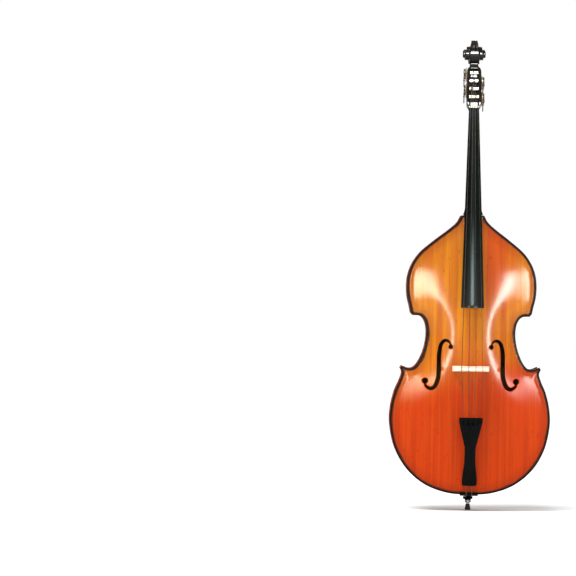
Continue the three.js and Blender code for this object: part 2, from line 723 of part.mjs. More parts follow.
// Front view of the bridge as [x, height above the edge plane of the top]
const up = (y) => topSurface - y;
const bridgeOuter = () => {
  const side = [
    [28, 34], [36, 20], [42, 0], [BRIDGE_FOOT_HALF, 0], [BRIDGE_FOOT_HALF, 38], [66, 52], [56, 72], [58, 92],
    [66, 108], [60, 122], [50, 130], [50, up(crownY(48))],
  ];
  const arc = [36, 24, 12, 0].map((x) => [x, up(crownY(x))]);
  const right = [...side, ...arc];
  return [...right, ...right.slice(0, -1).reverse().map(([x, h]) => [-x, h]), [-10, 44], [10, 44]];
};
const ovalHole = (x, h, rx, rh, steps) =>
  Array.from({ length: steps }, (_, i) => {
    const angle = (-2 * Math.PI * i) / steps;
    return [x + rx * Math.cos(angle), h + rh * Math.sin(angle)];
  });
function bridgeSolid() {
  const shape = shapeOf(bridgeOuter());
  shape.holes.push(shapeOf(ovalHole(0, 118, 11, 13, 10)));
  for (const side of [-1, 1]) shape.holes.push(shapeOf(ovalHole(side * 34, 96, 11, 17, 10)));
  const blank = extrude(shape, 1);
  const position = blank.attributes.position;
  const tallest = up(BRIDGE_TOP_Y);
  for (let i = 0; i < position.count; i++) {
    const height = position.getY(i);
    const thick = BRIDGE_THICKNESS + ((BRIDGE_TOP_THICKNESS - BRIDGE_THICKNESS) * height) / tallest;
    position.setZ(i, (position.getZ(i) - 0.5) * thick);
  }
  const turn = new THREE.Matrix4().makeBasis(
    new THREE.Vector3(1, 0, 0),
    new THREE.Vector3(0, -1, 0),
    new THREE.Vector3(0, 0, -1),
  );
  blank.applyMatrix4(turn).translate(0, topSurface, BRIDGE_Z);
  const underTop = solid(slab((rise) => topOuter(rise) - GAP, () => FAR));
  return solid(blank).subtract(underTop);
}
add("bridge", geometryOf(bridgeSolid()), BARE_MAPLE);

// ---------------------------------------------------------------- tailpiece, saddle and tail wire

const TAIL_TOP_Z = 312;
const TAIL_LOW_Z = 38;
const SADDLE_Y = -127;
const SADDLE_Z = 5;
const afterSlope = (SADDLE_Y - BRIDGE_TOP_Y) / (BRIDGE_Z - SADDLE_Z);
const tailLine = (z) => SADDLE_Y - afterSlope * (z - SADDLE_Z);
const TAIL_STATIONS = [
  [38, 27], [52, 30], [90, 27], [130, 22.5], [185, 22], [215, 28], [285, 45], [304, 47], [312, 46],
];
function tailSection(z, half) {
  const y = tailLine(z) - 1;
  const crown = half * 0.16 + 3;
  const rim = [1, 0.72, 0.4, 0, -0.4, -0.72, -1].map((s) => [s * half, y + crown * s * s, z]);
  const left = [[-half, y + crown + 6, z], [-half + 6, y + 21, z]];
  const right = [[half - 6, y + 21, z], [half, y + crown + 6, z]];
  return [...rim, ...left, ...right];
}
add("tailpiece", loft(TAIL_STATIONS.map(([z, half]) => tailSection(z, half))), EBONY);

add(
  "saddle",
  prismX([[-99.7, -1], [-106, -3], [-120, -1], [-125, 3], [-124, 7], [-112, 10], [-99.7, 10]], -36, 36),
  EBONY,
);

const WIRE_RADIUS = 1.6;
const wireSide = [
  [11, tailLine(TAIL_LOW_Z) + 10, TAIL_LOW_Z - 0.5],
  [11, SADDLE_Y - 0.4, SADDLE_Z + 2.5],
  [11.3, SADDLE_Y - 0.4, 2],
  [12, -124.5, -2.8],
  [13, -118, -5.8],
  [15.4, -60, -5.8],
  [16.2, -8, -5.8],
  [14.6, 8, -5.8],
  [9, 15, -5.8],
];
const wire = [...wireSide, [0, 17.4, -5.8], ...wireSide.map(([x, y, z]) => [-x, y, z]).reverse()];
add("tail_wire", cord(wire, WIRE_RADIUS), STEEL);

// ---------------------------------------------------------------- endpin

const plugProfile = [
  [ENDPIN_RADIUS + 0.6, -34], [12, -34], [12, -20], [19, -19], [20, -12], [18, -9], [12.5, -8.5], [12.5, -2.5],
  [20, -2], [20, 5.4], [PLUG_RADIUS, 5.6], [PLUG_RADIUS - 1.5, 62], [ENDPIN_RADIUS + 0.6, 62],
  [ENDPIN_RADIUS + 0.6, -34],
];
const screwBore = new THREE.CylinderGeometry(3.4, 3.4, 16, 14).translate(0, -12, -27);
add("endpin_plug", geometryOf(solid(turned(plugProfile, 20)).subtract(solid(screwBore))), EBONY);
add(
  "endpin_rod",
  turned([[0, -46], [ENDPIN_RADIUS, -46], [ENDPIN_RADIUS, ENDPIN_TOP], [0, ENDPIN_TOP]], 16),
  STEEL,
);
add(
  "endpin_foot",
  turned(
    [
      [0, FOOT_BOTTOM], [10, FOOT_BOTTOM], [12, FOOT_BOTTOM + 3], [8, -40], [ENDPIN_RADIUS + GAP, -38],
      [ENDPIN_RADIUS + GAP, -46 - GAP], [0, -46 - GAP],
    ],
    18,
  ),
  RUBBER,
);
const screwProfile = [[0, 5.5], [2.9, 5.5], [2.9, 18], [4.5, 18.5], [4.5, 23], [0, 23]];
const screwShank = solid(turned(screwProfile, 12));
const screwWing = solid(box(-13, 13, -2.2, 2.2, 22, 34));
add(
  "endpin_thumb_screw",
  geometryOf(screwShank.add(screwWing)).rotateX(Math.PI / 2).translate(0, 0, -27),
  STEEL,
);

// ---------------------------------------------------------------- tuning machines

const PLATE_INNER = CHEEK_HALF + GAP;
const GEAR_INNER = PLATE_INNER + PLATE_THICKNESS + 2;
const wormX = GEAR_INNER + GEAR_THICKNESS / 2;

function gearOutline() {
  return Array.from({ length: GEAR_TEETH * 2 }, (_, i) => {
    const angle = (-Math.PI * i) / GEAR_TEETH;
    const radius = i % 2 ? GEAR_ROOT : GEAR_RADIUS;
    return [radius * Math.cos(angle), radius * Math.sin(angle)];
  }).reverse();
}

// A worm shaft along the head's across direction, with a flat winged key behind the pegbox
function keyGeometry() {
  const shaft = new THREE.CylinderGeometry(2.6, 2.6, KEY_START + 22, 10).translate(0, (KEY_START - 22) / 2, 0);
  const worm = new THREE.CylinderGeometry(WORM_RADIUS, WORM_RADIUS, 16, 12);
  const half = KEY_HALF;
  const [a, b] = [KEY_START - 4, KEY_START + KEY_LENGTH];
  const wing = prismX(
    [[a, -4], [a + 8, -half * 0.7], [a + 20, -half], [b, -half * 0.75], [b - 4, 0],
      [b, half * 0.75], [a + 20, half],
      [a + 8, half * 0.7], [a, 4]],
    -2,
    2,
  );
  return geometryOf(solid(shaft).add(solid(worm)).add(solid(wing)));
}

function tuner(string) {
  const along = rollerAlong(string);
  const s = string.side;
  const place = (geometry, x) => inHead(geometry.translate(x, 0, 0));
  // Back plate with two lugs that carry the worm shaft
  const plateOutline = [
    [-16, along + 17], [-16, along - 30], [-10, along - 36],
    [16, along - 36], [22, along - 30], [22, along + 10],
    [14, along + 17],
  ].reverse();
  const [inner, outer] = [Math.min(s * PLATE_INNER, s * (PLATE_INNER + PLATE_THICKNESS)), 0];
  let plate = solid(prismX(plateOutline, inner, inner + PLATE_THICKNESS));
  for (const y of [-13, 13]) {
    const x0 = s > 0 ? inner + 1 : -wormX - 4.5;
    const x1 = s > 0 ? wormX + 4.5 : inner + 1;
    plate = plate.add(solid(box(x0, x1, y - 2, y + 2, along - WORM_DROP - 4.5, along - WORM_DROP + 4.5)));
  }
  const shaftBore = new THREE.CylinderGeometry(3.1, 3.1, 100, 12).translate(s * wormX, 0, along - WORM_DROP);
  plate = plate.subtract(solid(shaftBore)).subtract(solid(rodX(BORE_RADIUS, -60, 60, 0, along, 16)));
  add(`tuner_plate_${string.name}`, inHead(geometryOf(plate)), BRASS);

  const gear = solid(prismX(gearOutline(), -GEAR_THICKNESS / 2, GEAR_THICKNESS / 2)).subtract(
    solid(rodX(4 + GAP, -10, 10, 0, 0, 12)),
  );
  add(`gear_${string.name}`, inHead(geometryOf(gear).translate(s * wormX, 0, along)), BRASS);

  const end = cheekHalfAt(along) - 4.6;
  const shoulder = GEAR_INNER - GAP;
  const barrel = rodX(ROLLER_RADIUS, s > 0 ? -end : -shoulder, s > 0 ? shoulder : end, 0, along, 14);
  const tip = shoulder + GEAR_THICKNESS + 3;
  const spigot = rodX(4, s > 0 ? shoulder - 2 : -tip, s > 0 ? tip : 2 - shoulder, 0, along, 12);
  add(`roller_${string.name}`, inHead(geometryOf(solid(barrel).add(solid(spigot)))), BONE);

  const turns = 3;
  const inside = ROLLER_RADIUS + GAP;
  const outside = inside + 2 * string.radius;
  const halfBand = turns * string.radius;
  const band = turned(
    [[inside, -halfBand], [outside, -halfBand], [outside, halfBand], [inside, halfBand], [inside, -halfBand]],
    14,
  ).rotateY(Math.PI / 2);
  add(`winding_${string.name}`, place(band.translate(0, 0, along), string.rollerX), STRING_WOUND);

  add(`key_${string.name}`, place(keyGeometry().translate(0, 0, along - WORM_DROP), s * wormX), BRASS);
}
STRINGS.forEach(tuner);

// ---------------------------------------------------------------- strings

function stringPath(string) {
  const r = string.radius;
  const lift = r + GAP;
  const anchor = tailLine(TAIL_TOP_Z) + 8;
  const bridgeY = crownY(string.bridgeX) - lift - 0.6;
  const nutCrown = boardCrown(NUT_Z + 2) - 1.5 + 3.6 * (string.nutX / NUT_HALF) ** 2;
  const outerRadius = ROLLER_RADIUS + 2 * GAP + 2 * r;
  const onRoller = new THREE.Vector3(string.rollerX, -outerRadius - r, rollerAlong(string) - 2);
  const head = onRoller.applyMatrix4(headMatrix);
  return [
    [string.tailX, anchor, TAIL_TOP_Z + 0.5],
    [string.tailX, anchor - 3, TAIL_TOP_Z + 8],
    [string.bridgeX, bridgeY, BRIDGE_Z - 4],
    [string.bridgeX, bridgeY, BRIDGE_Z + 4],
    [string.nutX, nutCrown - lift - 0.4, NUT_Z],
    [string.nutX, nutCrown - lift - 0.2, NUT_Z + 4.5],
    head.toArray(),
  ];
}
for (const string of STRINGS)
  add(`string_${string.name}`, cord(stringPath(string), string.radius), STRING_WOUND);

export default bass;
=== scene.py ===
"""Looks for a three-quarter double bass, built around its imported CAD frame.

Tables and helper lengths are millimetres; every mesh is written in metres in the frame of the CAD.
"""

import math

import bmesh
import bpy
import numpy as np
from mathutils import Matrix, Vector
from mathutils.geometry import delaunay_2d_cdt


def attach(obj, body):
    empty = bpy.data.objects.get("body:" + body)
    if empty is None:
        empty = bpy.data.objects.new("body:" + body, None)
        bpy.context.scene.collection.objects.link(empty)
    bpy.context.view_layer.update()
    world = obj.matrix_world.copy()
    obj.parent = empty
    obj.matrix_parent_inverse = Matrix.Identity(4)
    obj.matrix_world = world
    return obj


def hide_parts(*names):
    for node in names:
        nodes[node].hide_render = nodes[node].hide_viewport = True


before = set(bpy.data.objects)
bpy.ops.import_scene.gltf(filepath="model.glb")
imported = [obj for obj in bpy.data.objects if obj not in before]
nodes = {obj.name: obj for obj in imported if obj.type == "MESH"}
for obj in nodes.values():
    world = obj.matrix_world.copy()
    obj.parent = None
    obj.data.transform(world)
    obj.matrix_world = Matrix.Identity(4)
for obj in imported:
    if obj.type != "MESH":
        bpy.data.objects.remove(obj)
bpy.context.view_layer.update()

MM = 0.001

# ---------------------------------------------------------------- dimensions shared with the frame

BODY_LENGTH = 1118
RIB_FRONT, RIB_BACK = -100, 100
TAPER_START, TAPER_DEPTH = 700, 45
OVERHANG, RIB_THICKNESS, EDGE_THICKNESS = 6, 2.6, 7
ARCH_HEIGHT, PLATE_GAIN, LONG_POWER, CROSS_POWER = 30, 1.5, 3.2, 1.3
BUTTON_RADIUS, BUTTON_Z = 29, 1124

LOWER_BOUT = [
    (0, 0), (90, 8), (178, 40), (250, 100), (298, 182), (319, 275), (317, 345), (302, 410), (284, 452),
    (274, 484), (281, 504),
]
WAIST = [
    (275, 514), (250, 504), (229, 507), (212, 524), (197, 552), (184, 590), (177, 634), (179, 672),
    (188, 698), (205, 714), (233, 716),
]
UPPER_BOUT = [
    (242, 727), (247, 752), (256, 790), (259, 835), (254, 880), (237, 926), (204, 972), (146, 1021),
    (90, 1064), (60, 1092), (46, 1118),
]

F_UPPER_EYE, F_UPPER_RADIUS = (81, 592), 9
F_LOWER_EYE, F_LOWER_RADIUS = (182, 455), 12
F_STEM = [
    (81, 600), (92, 615), (108, 615), (121, 598), (127, 560), (128, 515), (130, 468), (142, 434), (160, 424),
    (178, 434), (184, 448),
]
F_HALF_WIDTHS = [2, 5, 7, 8, 8.5, 8.5, 8.5, 8, 7, 5, 2]

NUT_Z, NUT_Y, NUT_HALF, NUT_CROWN = 1552, -63.5, 20.5, 3
BOARD_END_Z, BOARD_END_Y, BOARD_END_HALF, BOARD_END_CROWN = 748, -222, 46, 14
BOARD_EDGE = 9
HEEL_HALF, HEEL_SEAT = 31, 1082
SADDLE_HALF, SADDLE_HEIGHT = 36, 10
CAD_GAP = 0.3

BRIDGE_Z, BRIDGE_TOP_Y, BRIDGE_CROWN_RADIUS = 505, -287, 78
STRINGS = {
    "e": dict(radius=1.35, bridge=-42, nut=-14.5, tail=-30, at_roller=-9, roller=1, side=-1),
    "a": dict(radius=1.15, bridge=-14, nut=-4.8, tail=-10, at_roller=-3.5, roller=3, side=-1),
    "d": dict(radius=0.9, bridge=14, nut=4.8, tail=10, at_roller=3.5, roller=2, side=1),
    "g": dict(radius=0.7, bridge=42, nut=14.5, tail=30, at_roller=9, roller=0, side=1),
}
HEAD_Y, HEAD_Z, HEAD_LEAN = -36, 1588, math.radians(16)
# The head's own frame: across it towards the back, and along it towards the scroll
HEAD = Matrix.Translation((0, HEAD_Y, HEAD_Z)) @ Matrix.Rotation(-HEAD_LEAN, 4, "X")
ROLLER_PITCH, ROLLER_START, ROLLER_RADIUS = 34, 8, 6
CHEEK_HALF, CHEEK_TOP_HALF, CHEEK_TOP = 30, 29, 118
WORM_X, WORM_DROP = 38, 19.9
FLOOR_Z = -64

# ---------------------------------------------------------------- materials

TAPE_WIDTH, THREAD_WIDTH = 0.0012, 0.0004  # metres along the string


class Shader:
    """A material with a Principled shader and short ways to add nodes in front of it."""

    def __init__(self, name, **sockets):
        self.material = bpy.data.materials.new(name)
        self.material.use_nodes = True
        self.tree = self.material.node_tree
        self.shader = self.tree.nodes["Principled BSDF"]
        for socket, value in sockets.items():
            self.shader.inputs[socket.replace("_", " ")].default_value = value

    def node(self, kind, inputs=None, **properties):
        node = self.tree.nodes.new("ShaderNode" + kind)
        for key, value in properties.items():
            setattr(node, key, value)
        for key, value in (inputs or {}).items():
            if isinstance(value, bpy.types.NodeSocket):
                self.tree.links.new(value, node.inputs[key])
            else:
                node.inputs[key].default_value = value
        return node

    def link(self, socket, name):
        self.tree.links.new(socket, self.shader.inputs[name])

    def grain(self):
        """Wood coordinates in metres: across the board, through it, and along the fibre."""
        return self.node("Attribute", attribute_name="grain").outputs["Vector"]

    def place(self):
        return self.node("TexCoord").outputs["Object"]

    def stretched(self, vector, scale):
        return self.node("Mapping", {"Vector": vector, "Scale": scale}).outputs["Vector"]

    def noise(self, vector, scale, detail=3.0, roughness=0.55, distortion=0.0):
        inputs = {"Vector": self.stretched(vector, scale), "Scale": 1.0, "Detail": detail}
        inputs |= {"Roughness": roughness, "Distortion": distortion}
        return self.node("TexNoise", inputs).outputs["Fac"]

    def remap(self, value, low, high, to_low=0.0, to_high=1.0):
        inputs = {"Value": value, "From Min": low, "From Max": high, "To Min": to_low, "To Max": to_high}
        return self.node("MapRange", inputs, interpolation_type="SMOOTHSTEP").outputs["Result"]

    def sum(self, a, b):
        return self.node("Math", {0: a, 1: b}, operation="ADD").outputs[0]

    def times(self, a, b):
        return self.node("Math", {0: a, 1: b}, operation="MULTIPLY").outputs[0]

    def axis(self, vector, name):
        return self.node("SeparateXYZ", {"Vector": vector}).outputs[name]

    def mix(self, share, a, b):
        """Two colours mixed. Inputs 6 and 7 and output 2 of a Mix node are its colours."""
        a, b = (c if isinstance(c, bpy.types.NodeSocket) else (*c, 1.0) for c in (a, b))
        return self.node("Mix", {"Factor": share, 6: a, 7: b}, data_type="RGBA").outputs[2]

    def bump(self, height, distance):
        return self.node("Bump", {"Height": height, "Distance": distance}).outputs["Normal"]

    def dressed(self, colour, relief, depth, roughness=None):
        """The material, with its colour, its roughness and a relief of some depth in metres linked up."""
        self.link(colour, "Base Color")
        if roughness is not None:
            self.link(roughness, "Roughness")
        self.link(self.bump(relief, depth), "Normal")
        return self.material


def varnished_spruce():
    """Straight-grained softwood under clear orange varnish, redder low down, darker towards the edges, and
    with a near-black border of painted shade along them.
    """
    s = Shader("varnished_spruce", Coat_Roughness=0.12, Coat_IOR=1.45, Specular_IOR_Level=0.04)
    grain, place = s.grain(), s.place()
    height, across = s.axis(place, "Z"), s.axis(place, "X")
    cloud = s.noise(place, (5, 5, 4), 2.0)
    # The main colour climbs from red-orange to amber, tilted a little to one side
    level = s.sum(s.sum(height, s.times(across, -0.25)), s.times(cloud, 0.20))
    colour = s.mix(s.remap(level, 0.48, 0.76), (0.48, 0.038, 0.002), (0.60, 0.195, 0.004))
    colour = s.mix(s.remap(level, 0.95, 1.25), colour, (0.43, 0.138, 0.005))
    ruddy = s.times(s.remap(across, 0.02, 0.07), s.remap(across, 0.10, 0.21, 1.0, 0.0))
    colour = s.mix(s.times(ruddy, s.remap(height, 0.60, 0.90, 0.0, 0.75)), colour, (0.46, 0.034, 0.003))
    broad = s.noise(grain, (26, 1, 0.9), 2.0, 0.6)
    colour = s.mix(s.remap(broad, 0.35, 0.7, 0.0, 0.55), colour, (0.32, 0.022, 0.002))
    streak = s.noise(grain, (150, 1, 1.5), 3.0, 0.6)
    colour = s.mix(s.remap(streak, 0.5, 0.75, 0.0, 0.24), colour, (0.54, 0.17, 0.012))
    rings = s.noise(grain, (900, 1, 3), 2.0, 0.5, 0.3)
    colour = s.mix(s.remap(rings, 0.50, 0.68, 0.0, 0.5), colour, (0.22, 0.014, 0.002))
    edge = s.node("Attribute", attribute_name="edge").outputs["Fac"]
    mottle = s.noise(place, (75, 75, 48), 3.0, 0.6)
    colour = s.mix(s.remap(mottle, 0.60, 0.72, 0.0, 0.40), colour, (0.24, 0.012, 0.002))
    # Darker towards the edge, in millimetres from it, then a near-black border: painted shade where the
    # rounded edge turns away from the light
    worn = s.sum(edge, s.times(s.noise(place, (22, 22, 22), 3.0), 8.0))
    colour = s.mix(s.remap(worn, 14.0, 60.0, 0.38, 0.0), colour, (0.20, 0.018, 0.004))
    colour = s.mix(s.remap(worn, 12.0, 18.0, 0.97, 0.0), colour, (0.006, 0.0012, 0.0008))
    glossy = s.times(s.remap(worn, 10.0, 20.0, 0.12, 0.6), s.remap(height, 0.36, 0.56, 0.10, 1.0))
    s.link(glossy, "Coat Weight")
    relief = s.sum(s.times(rings, 0.5), s.times(s.noise(place, (30, 30, 18), 2.0), 2.0))
    return s.dressed(colour, relief, 0.00012, s.remap(streak, 0.3, 0.7, 0.30, 0.46))


def flamed_maple(name, deep, warm, pale, coat=0.6, gloss=0.16, flame=(4, 1, 48)):
    """Maple with cross bands of curl, under varnish."""
    s = Shader(name, Coat_Weight=coat, Coat_Roughness=gloss, Coat_IOR=1.45, Specular_IOR_Level=0.04)
    grain = s.grain()
    curl = s.noise(grain, flame, 3.0, 0.6, 0.7)
    colour = s.mix(s.remap(curl, 0.38, 0.62), deep, warm)
    colour = s.mix(s.remap(curl, 0.58, 0.75, 0.0, 0.8), colour, pale)
    fleck = s.noise(grain, (420, 1, 12), 3.0, 0.6)
    colour = s.mix(s.remap(fleck, 0.52, 0.7, 0.0, 0.45), colour, deep)
    cloud = s.noise(s.place(), (4, 4, 4), 2.0)
    colour = s.mix(s.remap(cloud, 0.4, 0.75, 0.0, 0.35), colour, deep)
    relief = s.sum(fleck, s.times(s.noise(s.place(), (25, 25, 25)), 2.0))
    return s.dressed(colour, relief, 0.0001, s.remap(curl, 0.3, 0.7, 0.3, 0.5))


def ebony(name, painted_sheen_tint=(0.004, 0.005, 0.005), roughness=0.34, polish=None):
    """Black hardwood rubbed to a satin shine. polish is its coat weight at the low and the high end;
    painted_sheen_tint is a cool colour put into clouds of the base colour as a painted sheen.
    """
    s = Shader(name, Coat_Roughness=0.24, Specular_IOR_Level=0.04)
    if polish:
        s.link(s.remap(s.axis(s.place(), "Z"), 0.75, 1.15, *polish), "Coat Weight")
    grain = s.grain()
    streak = s.noise(grain, (130, 130, 3), 3.0)
    colour = s.mix(s.remap(streak, 0.45, 0.75, 0.0, 0.7), (0.0015, 0.0016, 0.0017), (0.006, 0.005, 0.0045))
    cloud = s.noise(grain, (20, 20, 1.5), 2.0)
    # Clouds of a cool tint: a painted sheen in the base colour
    colour = s.mix(s.remap(cloud, 0.4, 0.7, 0.0, 0.5), colour, painted_sheen_tint)
    pores = s.noise(grain, (900, 900, 24), 2.0, 0.5)
    worn = s.remap(pores, 0.3, 0.7, roughness - 0.06, roughness + 0.10)
    return s.dressed(colour, pores, 0.00008, worn)


def bare_maple():
    """Pale bridge wood with short silvery flecks across the grain."""
    s = Shader("bare_maple", IOR=1.45)
    grain = s.grain()
    fleck = s.noise(grain, (90, 420, 700), 2.0, 0.5)
    colour = s.mix(s.remap(fleck, 0.52, 0.66), (0.90, 0.82, 0.64), (0.72, 0.56, 0.34))
    tone = s.noise(grain, (25, 8, 60), 3.0)
    colour = s.mix(s.remap(tone, 0.35, 0.7, 0.0, 0.4), colour, (0.94, 0.88, 0.74))
    return s.dressed(colour, fleck, 0.00006, s.remap(tone, 0.3, 0.7, 0.42, 0.58))


def bare_spruce():
    """Planed softwood, as it shows inside the sound holes."""
    s = Shader("bare_spruce", Roughness=0.8)
    rings = s.noise(s.place(), (600, 600, 4), 2.0)
    tone = s.noise(s.place(), (30, 30, 3), 2.0)
    colour = s.mix(s.remap(rings, 0.4, 0.65), (0.34, 0.23, 0.11), (0.22, 0.13, 0.055))
    colour = s.mix(s.remap(tone, 0.3, 0.7, 0.0, 0.4), colour, (0.16, 0.09, 0.04))
    return s.dressed(colour, rings, 0.0001)


def metal(name, bright, dull, roughness):
    """Metal with brushing, and with tarnish in clouds."""
    s = Shader(name, Metallic=1.0)
    cloud = s.noise(s.place(), (90, 90, 90), 4.0, 0.65)
    colour = s.mix(s.remap(cloud, 0.42, 0.68, 0.0, 0.6), bright, dull)
    lines = s.noise(s.place(), (60, 60, 900), 2.0)
    worn = s.remap(lines, 0.3, 0.7, roughness - 0.05, roughness + 0.06)
    return s.dressed(colour, lines, 0.00003, s.sum(worn, s.times(cloud, 0.12)))


def bone():
    """Polished bone, yellowed a little, with fine dark pores."""
    s = Shader("bone", Coat_Weight=0.4, Coat_Roughness=0.12, IOR=1.54)
    tone = s.noise(s.place(), (160, 120, 120), 3.0)
    colour = s.mix(s.remap(tone, 0.35, 0.7), (0.83, 0.80, 0.70), (0.70, 0.62, 0.44))
    pores = s.noise(s.place(), (1500, 1500, 1500), 2.0)
    colour = s.mix(s.remap(pores, 0.66, 0.76, 0.0, 0.5), colour, (0.32, 0.22, 0.12))
    return s.dressed(colour, pores, 0.00003, s.remap(tone, 0.3, 0.7, 0.26, 0.40))


def wound_string():
    """Flat metal tape wound round the core: fine rings along the string."""
    s = Shader("wound_steel", Metallic=1.0)
    grain = s.grain()
    tape = s.node("Math", {0: s.axis(grain, "Z"), 1: TAPE_WIDTH}, operation="PINGPONG").outputs[0]
    cloud = s.noise(grain, (40, 40, 40), 3.0)
    colour = s.mix(s.remap(cloud, 0.35, 0.7, 0.0, 0.6), (0.11, 0.092, 0.064), (0.05, 0.040, 0.027))
    return s.dressed(colour, s.remap(tape, 0.0, 0.00018), 0.00006, s.remap(cloud, 0.3, 0.7, 0.26, 0.40))


def silk(name, dark, light):
    """Thread wrapped closely round the end of a string, with painted light on the crests of its turns and
    painted shade in the grooves between them.
    """
    s = Shader(name, Roughness=0.6, Sheen_Weight=0.05)
    grain = s.grain()
    thread = s.node("Math", {0: s.axis(grain, "Z"), 1: THREAD_WIDTH}, operation="PINGPONG").outputs[0]
    crest = s.remap(thread, 0.0, THREAD_WIDTH)
    tone = s.noise(grain, (300, 300, 300), 2.0)
    # Painted light and shade: crests take the light colour, the grooves between turns the dark one
    colour = s.mix(s.remap(tone, 0.4, 0.7, 0.0, 0.4), s.mix(crest, dark, light), dark)
    return s.dressed(colour, crest, 0.00012)


def rubber():
    """Matt black rubber, dusty where it is rubbed."""
    s = Shader("rubber", IOR=1.5)
    dust = s.noise(s.place(), (120, 120, 120), 4.0, 0.6)
    colour = s.mix(s.remap(dust, 0.45, 0.75, 0.0, 0.6), (0.012, 0.012, 0.013), (0.060, 0.056, 0.052))
    relief = s.noise(s.place(), (900, 900, 900))
    return s.dressed(colour, relief, 0.0001, s.remap(dust, 0.3, 0.7, 0.6, 0.85))


def inlay(name, colour, shade):
    """Thin dyed strips let into the plates."""
    s = Shader(name, Coat_Weight=0.3, Coat_Roughness=0.13, Roughness=0.4, Specular_IOR_Level=0.1)
    tone = s.noise(s.place(), (60, 60, 60), 3.0)
    s.link(s.mix(s.remap(tone, 0.35, 0.7), colour, shade), "Base Color")
    return s.material


SPRUCE = varnished_spruce()
MAPLE = flamed_maple("varnished_maple", (0.13, 0.012, 0.003), (0.28, 0.040, 0.005), (0.40, 0.095, 0.012))
RIB_MAPLE = flamed_maple(
    "rib_maple", (0.12, 0.011, 0.003), (0.27, 0.038, 0.005), (0.40, 0.095, 0.012), flame=(3, 1, 60)
)
NECK_MAPLE = flamed_maple(
    "black_maple", (0.002, 0.0015, 0.001), (0.007, 0.0035, 0.002), (0.015, 0.007, 0.004), 0.35, 0.10
)
EBONY = ebony("ebony")
# The fingerboard's greenish clouds are a painted sheen, in the cool colour of its reflection
BOARD_EBONY = ebony("board_ebony", (0.005, 0.011, 0.010), 0.30, (0.9, 0.02))
BARE_MAPLE = bare_maple()
BARE_SPRUCE = bare_spruce()
BRASS = metal("bronzed_brass", (0.075, 0.054, 0.032), (0.020, 0.014, 0.010), 0.32)
STEEL = metal("steel", (0.66, 0.67, 0.69), (0.40, 0.40, 0.41), 0.24)
BONE = bone()
STRING_METAL = wound_string()
SILK_DARK = silk("silk_dark", (0.008, 0.006, 0.006), (0.030, 0.010, 0.009))
SILK_RED = silk("silk_red", (0.10, 0.008, 0.008), (0.36, 0.030, 0.020))
RUBBER = rubber()
INLAY_DARK = inlay("inlay_dark", (0.010, 0.006, 0.004), (0.028, 0.014, 0.008))
INLAY_PALE = inlay("inlay_pale", (0.055, 0.020, 0.006), (0.030, 0.011, 0.004))

# ---------------------------------------------------------------- mesh helpers


def piece(name, verts, faces, materials, body="body", *, grain, sharp, face_materials=None, data=None):
    """A mesh piece from millimetre points. Its grain attribute is (across, through, along) in metres."""
    verts = np.asarray(verts, float) * MM
    mesh = bpy.data.meshes.new(name)
    mesh.from_pydata(verts.tolist(), [], [tuple(int(i) for i in f) for f in faces])
    for material in materials if isinstance(materials, (list, tuple)) else [materials]:
        mesh.materials.append(material)
    if face_materials is not None:
        mesh.polygons.foreach_set("material_index", np.asarray(face_materials, np.int32))
    grain = verts if grain is None else np.asarray(grain, float) * MM
    mesh.attributes.new("grain", "FLOAT_VECTOR", "POINT").data.foreach_set("vector", grain.ravel())
    for key, values in (data or {}).items():
        mesh.attributes.new(key, "FLOAT", "POINT").data.foreach_set("value", np.asarray(values, float))
    mesh.validate()
    mesh.polygons.foreach_set("use_smooth", [True] * len(mesh.polygons))
    mesh.set_sharp_from_angle(angle=math.radians(sharp))
    mesh.update()
    made = bpy.data.objects.new(name, mesh)
    bpy.context.scene.collection.objects.link(made)
    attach(made, body)
    return made


def spline(points, steps):
    """Points on a uniform Catmull-Rom curve whose end points are doubled."""
    p = np.array(points, float)
    last = len(p) - 1
    made = []
    for t in np.linspace(0, last, steps + 1):
        i = min(int(t), last)
        w = t - i
        a, b, c, d = (p[min(max(k, 0), last)] for k in (i - 1, i, i + 1, i + 2))
        v0, v1 = (c - a) / 2, (d - b) / 2
        made.append((2 * b - 2 * c + v0 + v1) * w**3 + (-3 * b + 3 * c - 2 * v0 - v1) * w**2 + v0 * w + b)
    return np.array(made)


def offset_line(points, distance):
    """An open line moved sideways along its left-hand normal."""
    before = np.vstack([points[:1], points[:-1]])
    after = np.vstack([points[1:], points[-1:]])
    way = after - before
    way /= np.linalg.norm(way, axis=1)[:, None]
    return points + np.column_stack([-way[:, 1], way[:, 0]]) * distance


def closed_spline(points, steps):
    return spline([*points, points[0]], steps)[:-1]


def offset_loop(loop, distance):
    """A closed line moved sideways along its left-hand normal."""
    return offset_line(np.vstack([loop[-1:], loop, loop[:1]]), distance)[1:-1]


def mirrored(points):
    """A line's mirror image, run backwards so that the two join up."""
    return (np.asarray(points) * [-1, 1])[::-1]


def eased(path):
    """The inner points of a path, each drawn halfway towards the middle of its neighbours."""
    return (path[:-2] + 2 * path[1:-1] + path[2:]) / 4


def around(steps):
    """Evenly spaced angles over a full turn."""
    return np.linspace(0, 2 * math.pi, steps, endpoint=False)


def distance_to(points, loop):
    """Distance from each point to a closed polyline."""
    a, b = loop, np.roll(loop, -1, axis=0)
    way = b - a
    length = np.maximum((way**2).sum(1), 1e-12)
    best = np.full(len(points), 1e9)
    for start in range(0, len(points), 2000):
        p = points[start : start + 2000, None, :]
        t = np.clip(((p - a) * way).sum(2) / length, 0, 1)
        gap = p - (a + t[..., None] * way)
        best[start : start + 2000] = np.sqrt((gap**2).sum(2)).min(1)
    return best


def inside(points, loop):
    """Which points lie in a closed polyline."""
    a, b = loop, np.roll(loop, -1, axis=0)
    within = np.zeros(len(points), bool)
    for (xa, za), (xb, zb) in zip(a, b):
        if za == zb:
            continue
        crosses = (za > points[:, 1]) != (zb > points[:, 1])
        within ^= crosses & (points[:, 0] < (xb - xa) * (points[:, 1] - za) / (zb - za) + xa)
    return within


def circle(centre, radius, steps):
    angles = around(steps)
    return np.column_stack([centre[0] + radius * np.cos(angles), centre[1] + radius * np.sin(angles)])


